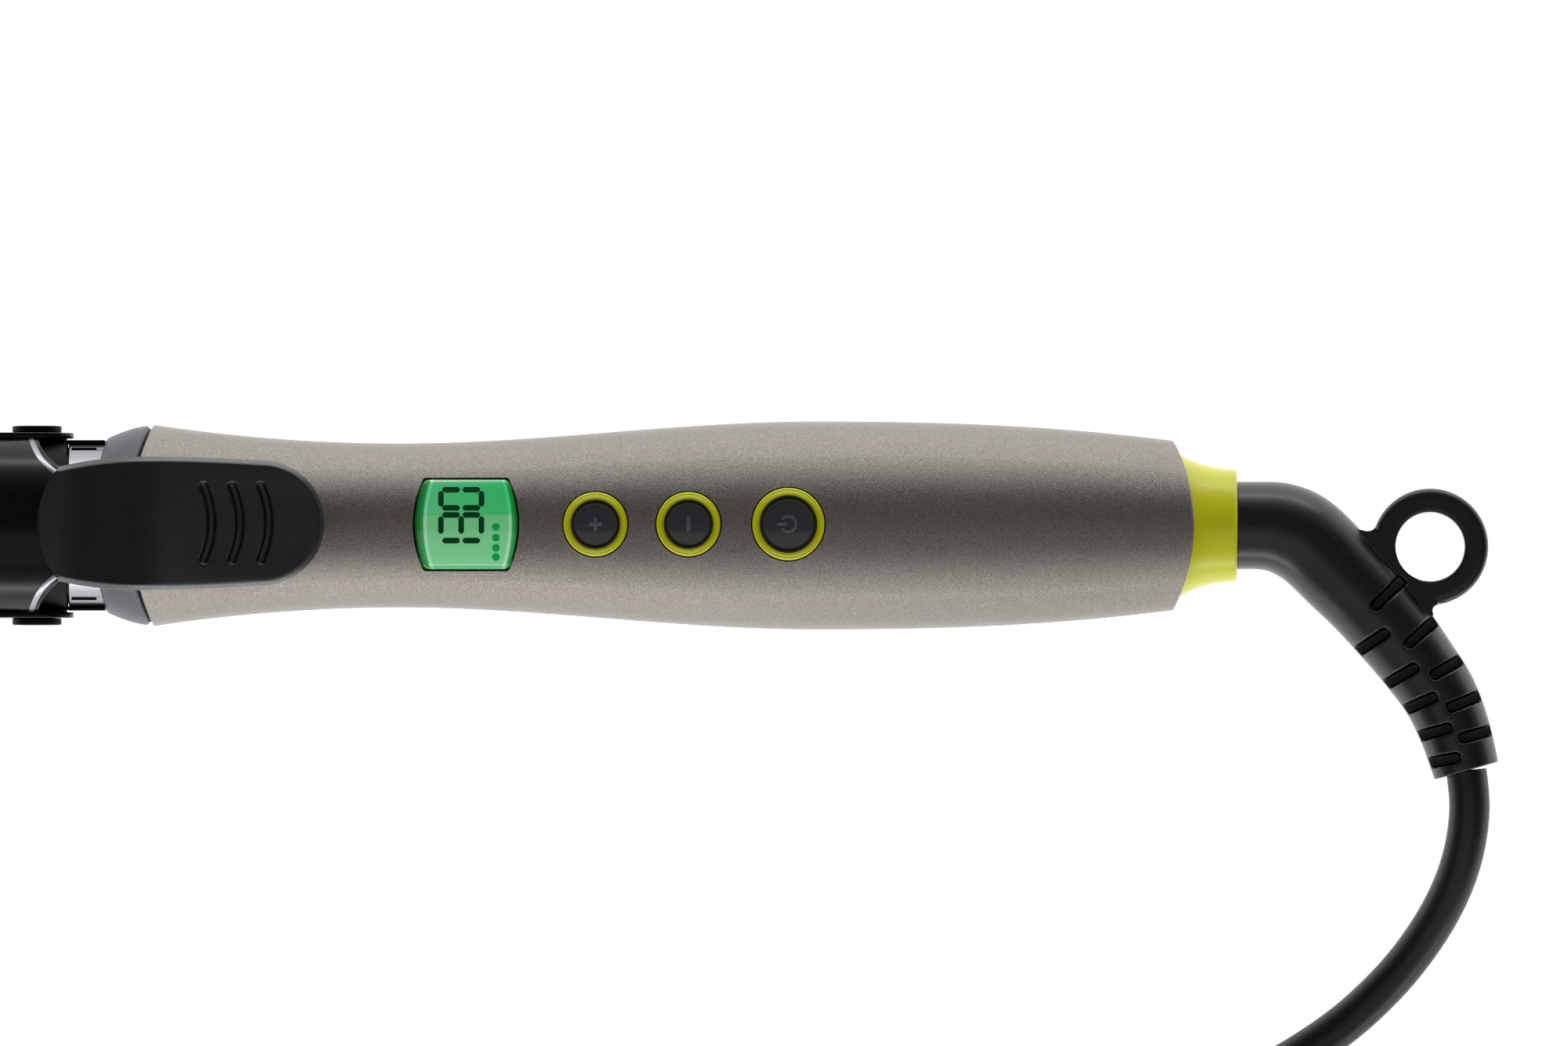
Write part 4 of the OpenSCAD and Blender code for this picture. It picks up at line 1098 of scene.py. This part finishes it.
# ---- stand
def make_stand():
    """A pressed sheet leg: one U with rolled eyes, and a flat foot pressed down from it."""
    low, high = -15, -13.9
    x0, x1 = -PIVOT_X / MM - 4, -PIVOT_X / MM + 4
    outer = rounded([(1, -12), (x0, -12), (x0, 12), (1, 12), (1, 8), (x1, 8), (x1, -8), (1, -8)],
                    [0, 3, 3, 0, 0, 1.5, 1.5, 0], 6)
    pad = rounded(rect(x0, -12, x1, 12), 2.2, 6)
    foot = prism("foot", pad, -AXIS_Z / MM, high - 0.3, 0.4)
    parts = [boolean(prism("leg", outer, low, high, 0.25), [foot], "UNION")]
    for y in (-10, 10):
        eye = slab_y("eye", arc_points(*STAND_PIN, KNUCKLE_R, 0, 350, 35), y - 2, y + 2, 0.2)
        parts.append(boolean(eye, [slab_y("hole", arc_points(*STAND_PIN, 0.95, 0, 350, 35), y - 3, y + 3)]))
    return join("folding_leg", parts)


dress(make_stand(), BLACK, "stand", "black_satin", "stand_leg")

# ---- nodes that keep their CAD shape
KEPT = {
    "shell_screws lever_screws stand_pin": material("screw_steel", (205, 206, 210), 0.18, 0.05, 900, metal=1),
    "heater_block_upper heater_block_lower":
        material("heater_aluminium", (200, 200, 203), 0.35, 0.08, 400, metal=1, stretch=(0.1, 4, 4)),
    "ptc_stack": material("ceramic_heater", (140, 132, 120), 0.7, 0.12, 700, bump=0.1),
    "insulating_film": material("film", (199, 118, 40), 0.25, 0.08, 200, coat=0.3),
    "lead_support_ring": material("mica", (216, 211, 198), 0.5, 0.08, 900),
    "thermistor": material("sensor_glass", (176, 72, 36), 0.15, 0.08, 500, coat=0.5),
    "thermal_fuse": material("fuse_case", (200, 194, 178), 0.3, 0.08, 700, metal=0.9),
    "heater_leads supply_leads": material("lead_insulation", (214, 214, 212), 0.4, 0.05, 600),
    "circuit_board": material("board_laminate", (24, 92, 50), 0.35, 0.18, 900, coat=0.2),
    "tact_switches": material("switch_black", (40, 40, 42), 0.5, 0.12, 900),
    "film_capacitor": material("capacitor_case", (204, 160, 44), 0.3, 0.06, 500, coat=0.2),
    "triac": material("chip_epoxy", (34, 34, 36), 0.6, 0.14, 1500, bump=0.08),
    "lcd_backlight lcd_panel": material("backlight_diffuser", (214, 240, 220), 0.5, 0.04, 500),
    "swivel_socket": material("socket_white", (228, 226, 218), 0.5, 0.05, 500),
    "swivel_contacts slip_rings": material("contact_brass", (206, 168, 84), 0.22, 0.08, 700, metal=1),
}
for names, mat in KEPT.items():
    for name in names.split():
        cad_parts[name].data.materials.clear()
        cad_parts[name].data.materials.append(mat)

# ---- floor and light
FLOOR_HALF, FLOOR_Z = 3, -0.0003
corners = [(x * FLOOR_HALF, y * FLOOR_HALF, FLOOR_Z) for x, y in ((-1, -1), (1, -1), (1, 1), (-1, 1))]
floor = add_mesh("floor", corners, [(0, 1, 2, 3)], row=True)
floor.data.materials.append(material("floor", [243.45] * 3, 0.9, 0, 400, emission=[255] * 3, strength=1))


def area_light(name, place, size_x, size_y, power):
    """A panel light that faces the iron's middle."""
    light = bpy.data.lights.new(name, "AREA")
    light.shape = "RECTANGLE"
    light.size, light.size_y = size_x, size_y
    light.energy = power
    obj = new_object(name, light)
    obj.location = place
    obj.rotation_euler = (Vector(MIDDLE) - Vector(place)).to_track_quat("-Z", "Y").to_euler()


MIDDLE = (PIVOT_X + 0.11, 0, AXIS_Z)
area_light("left_strip", (MIDDLE[0], 0.9, 0.1), 1.3, 0.1, 1.85)
area_light("right_strip", (MIDDLE[0], -0.9, 0.1), 1.3, 0.1, 2.1)
area_light("overhead_panel", (MIDDLE[0], -0.64, 1.08), 1.6, 1, 1.6)

world = bpy.data.worlds.new("studio")
bpy.context.scene.world = world
world.use_nodes = True
tree = world.node_tree
_, side, up = add_node(tree, "SeparateXYZ", {"Vector": add_node(tree, "TexCoord", {}).outputs["Generated"]}).outputs
SKY = [(0, 1.1), (1, 0.1), (0.15, 0.85), (0.3, 0.5), (0.42, 0.32), (0.7, 0.18), (0.93, 0.14)]
sky = ramp(tree, up, [(place, (level, level, level * 1.01)) for place, level in SKY])
# the studio is dark past both ends of the iron and bright at both its sides
sides = remap(tree, add_math(tree, "ABSOLUTE", side), low=0.45, high=0.95, to_low=0.2)
# straight overhead, the sides don't count
height = remap(tree, up, low=0.6, high=0.95)
color = multiply(tree, sky, add_math(tree, "MAXIMUM", sides, height))
feed(tree, tree.nodes["Background"], {"Color": color})
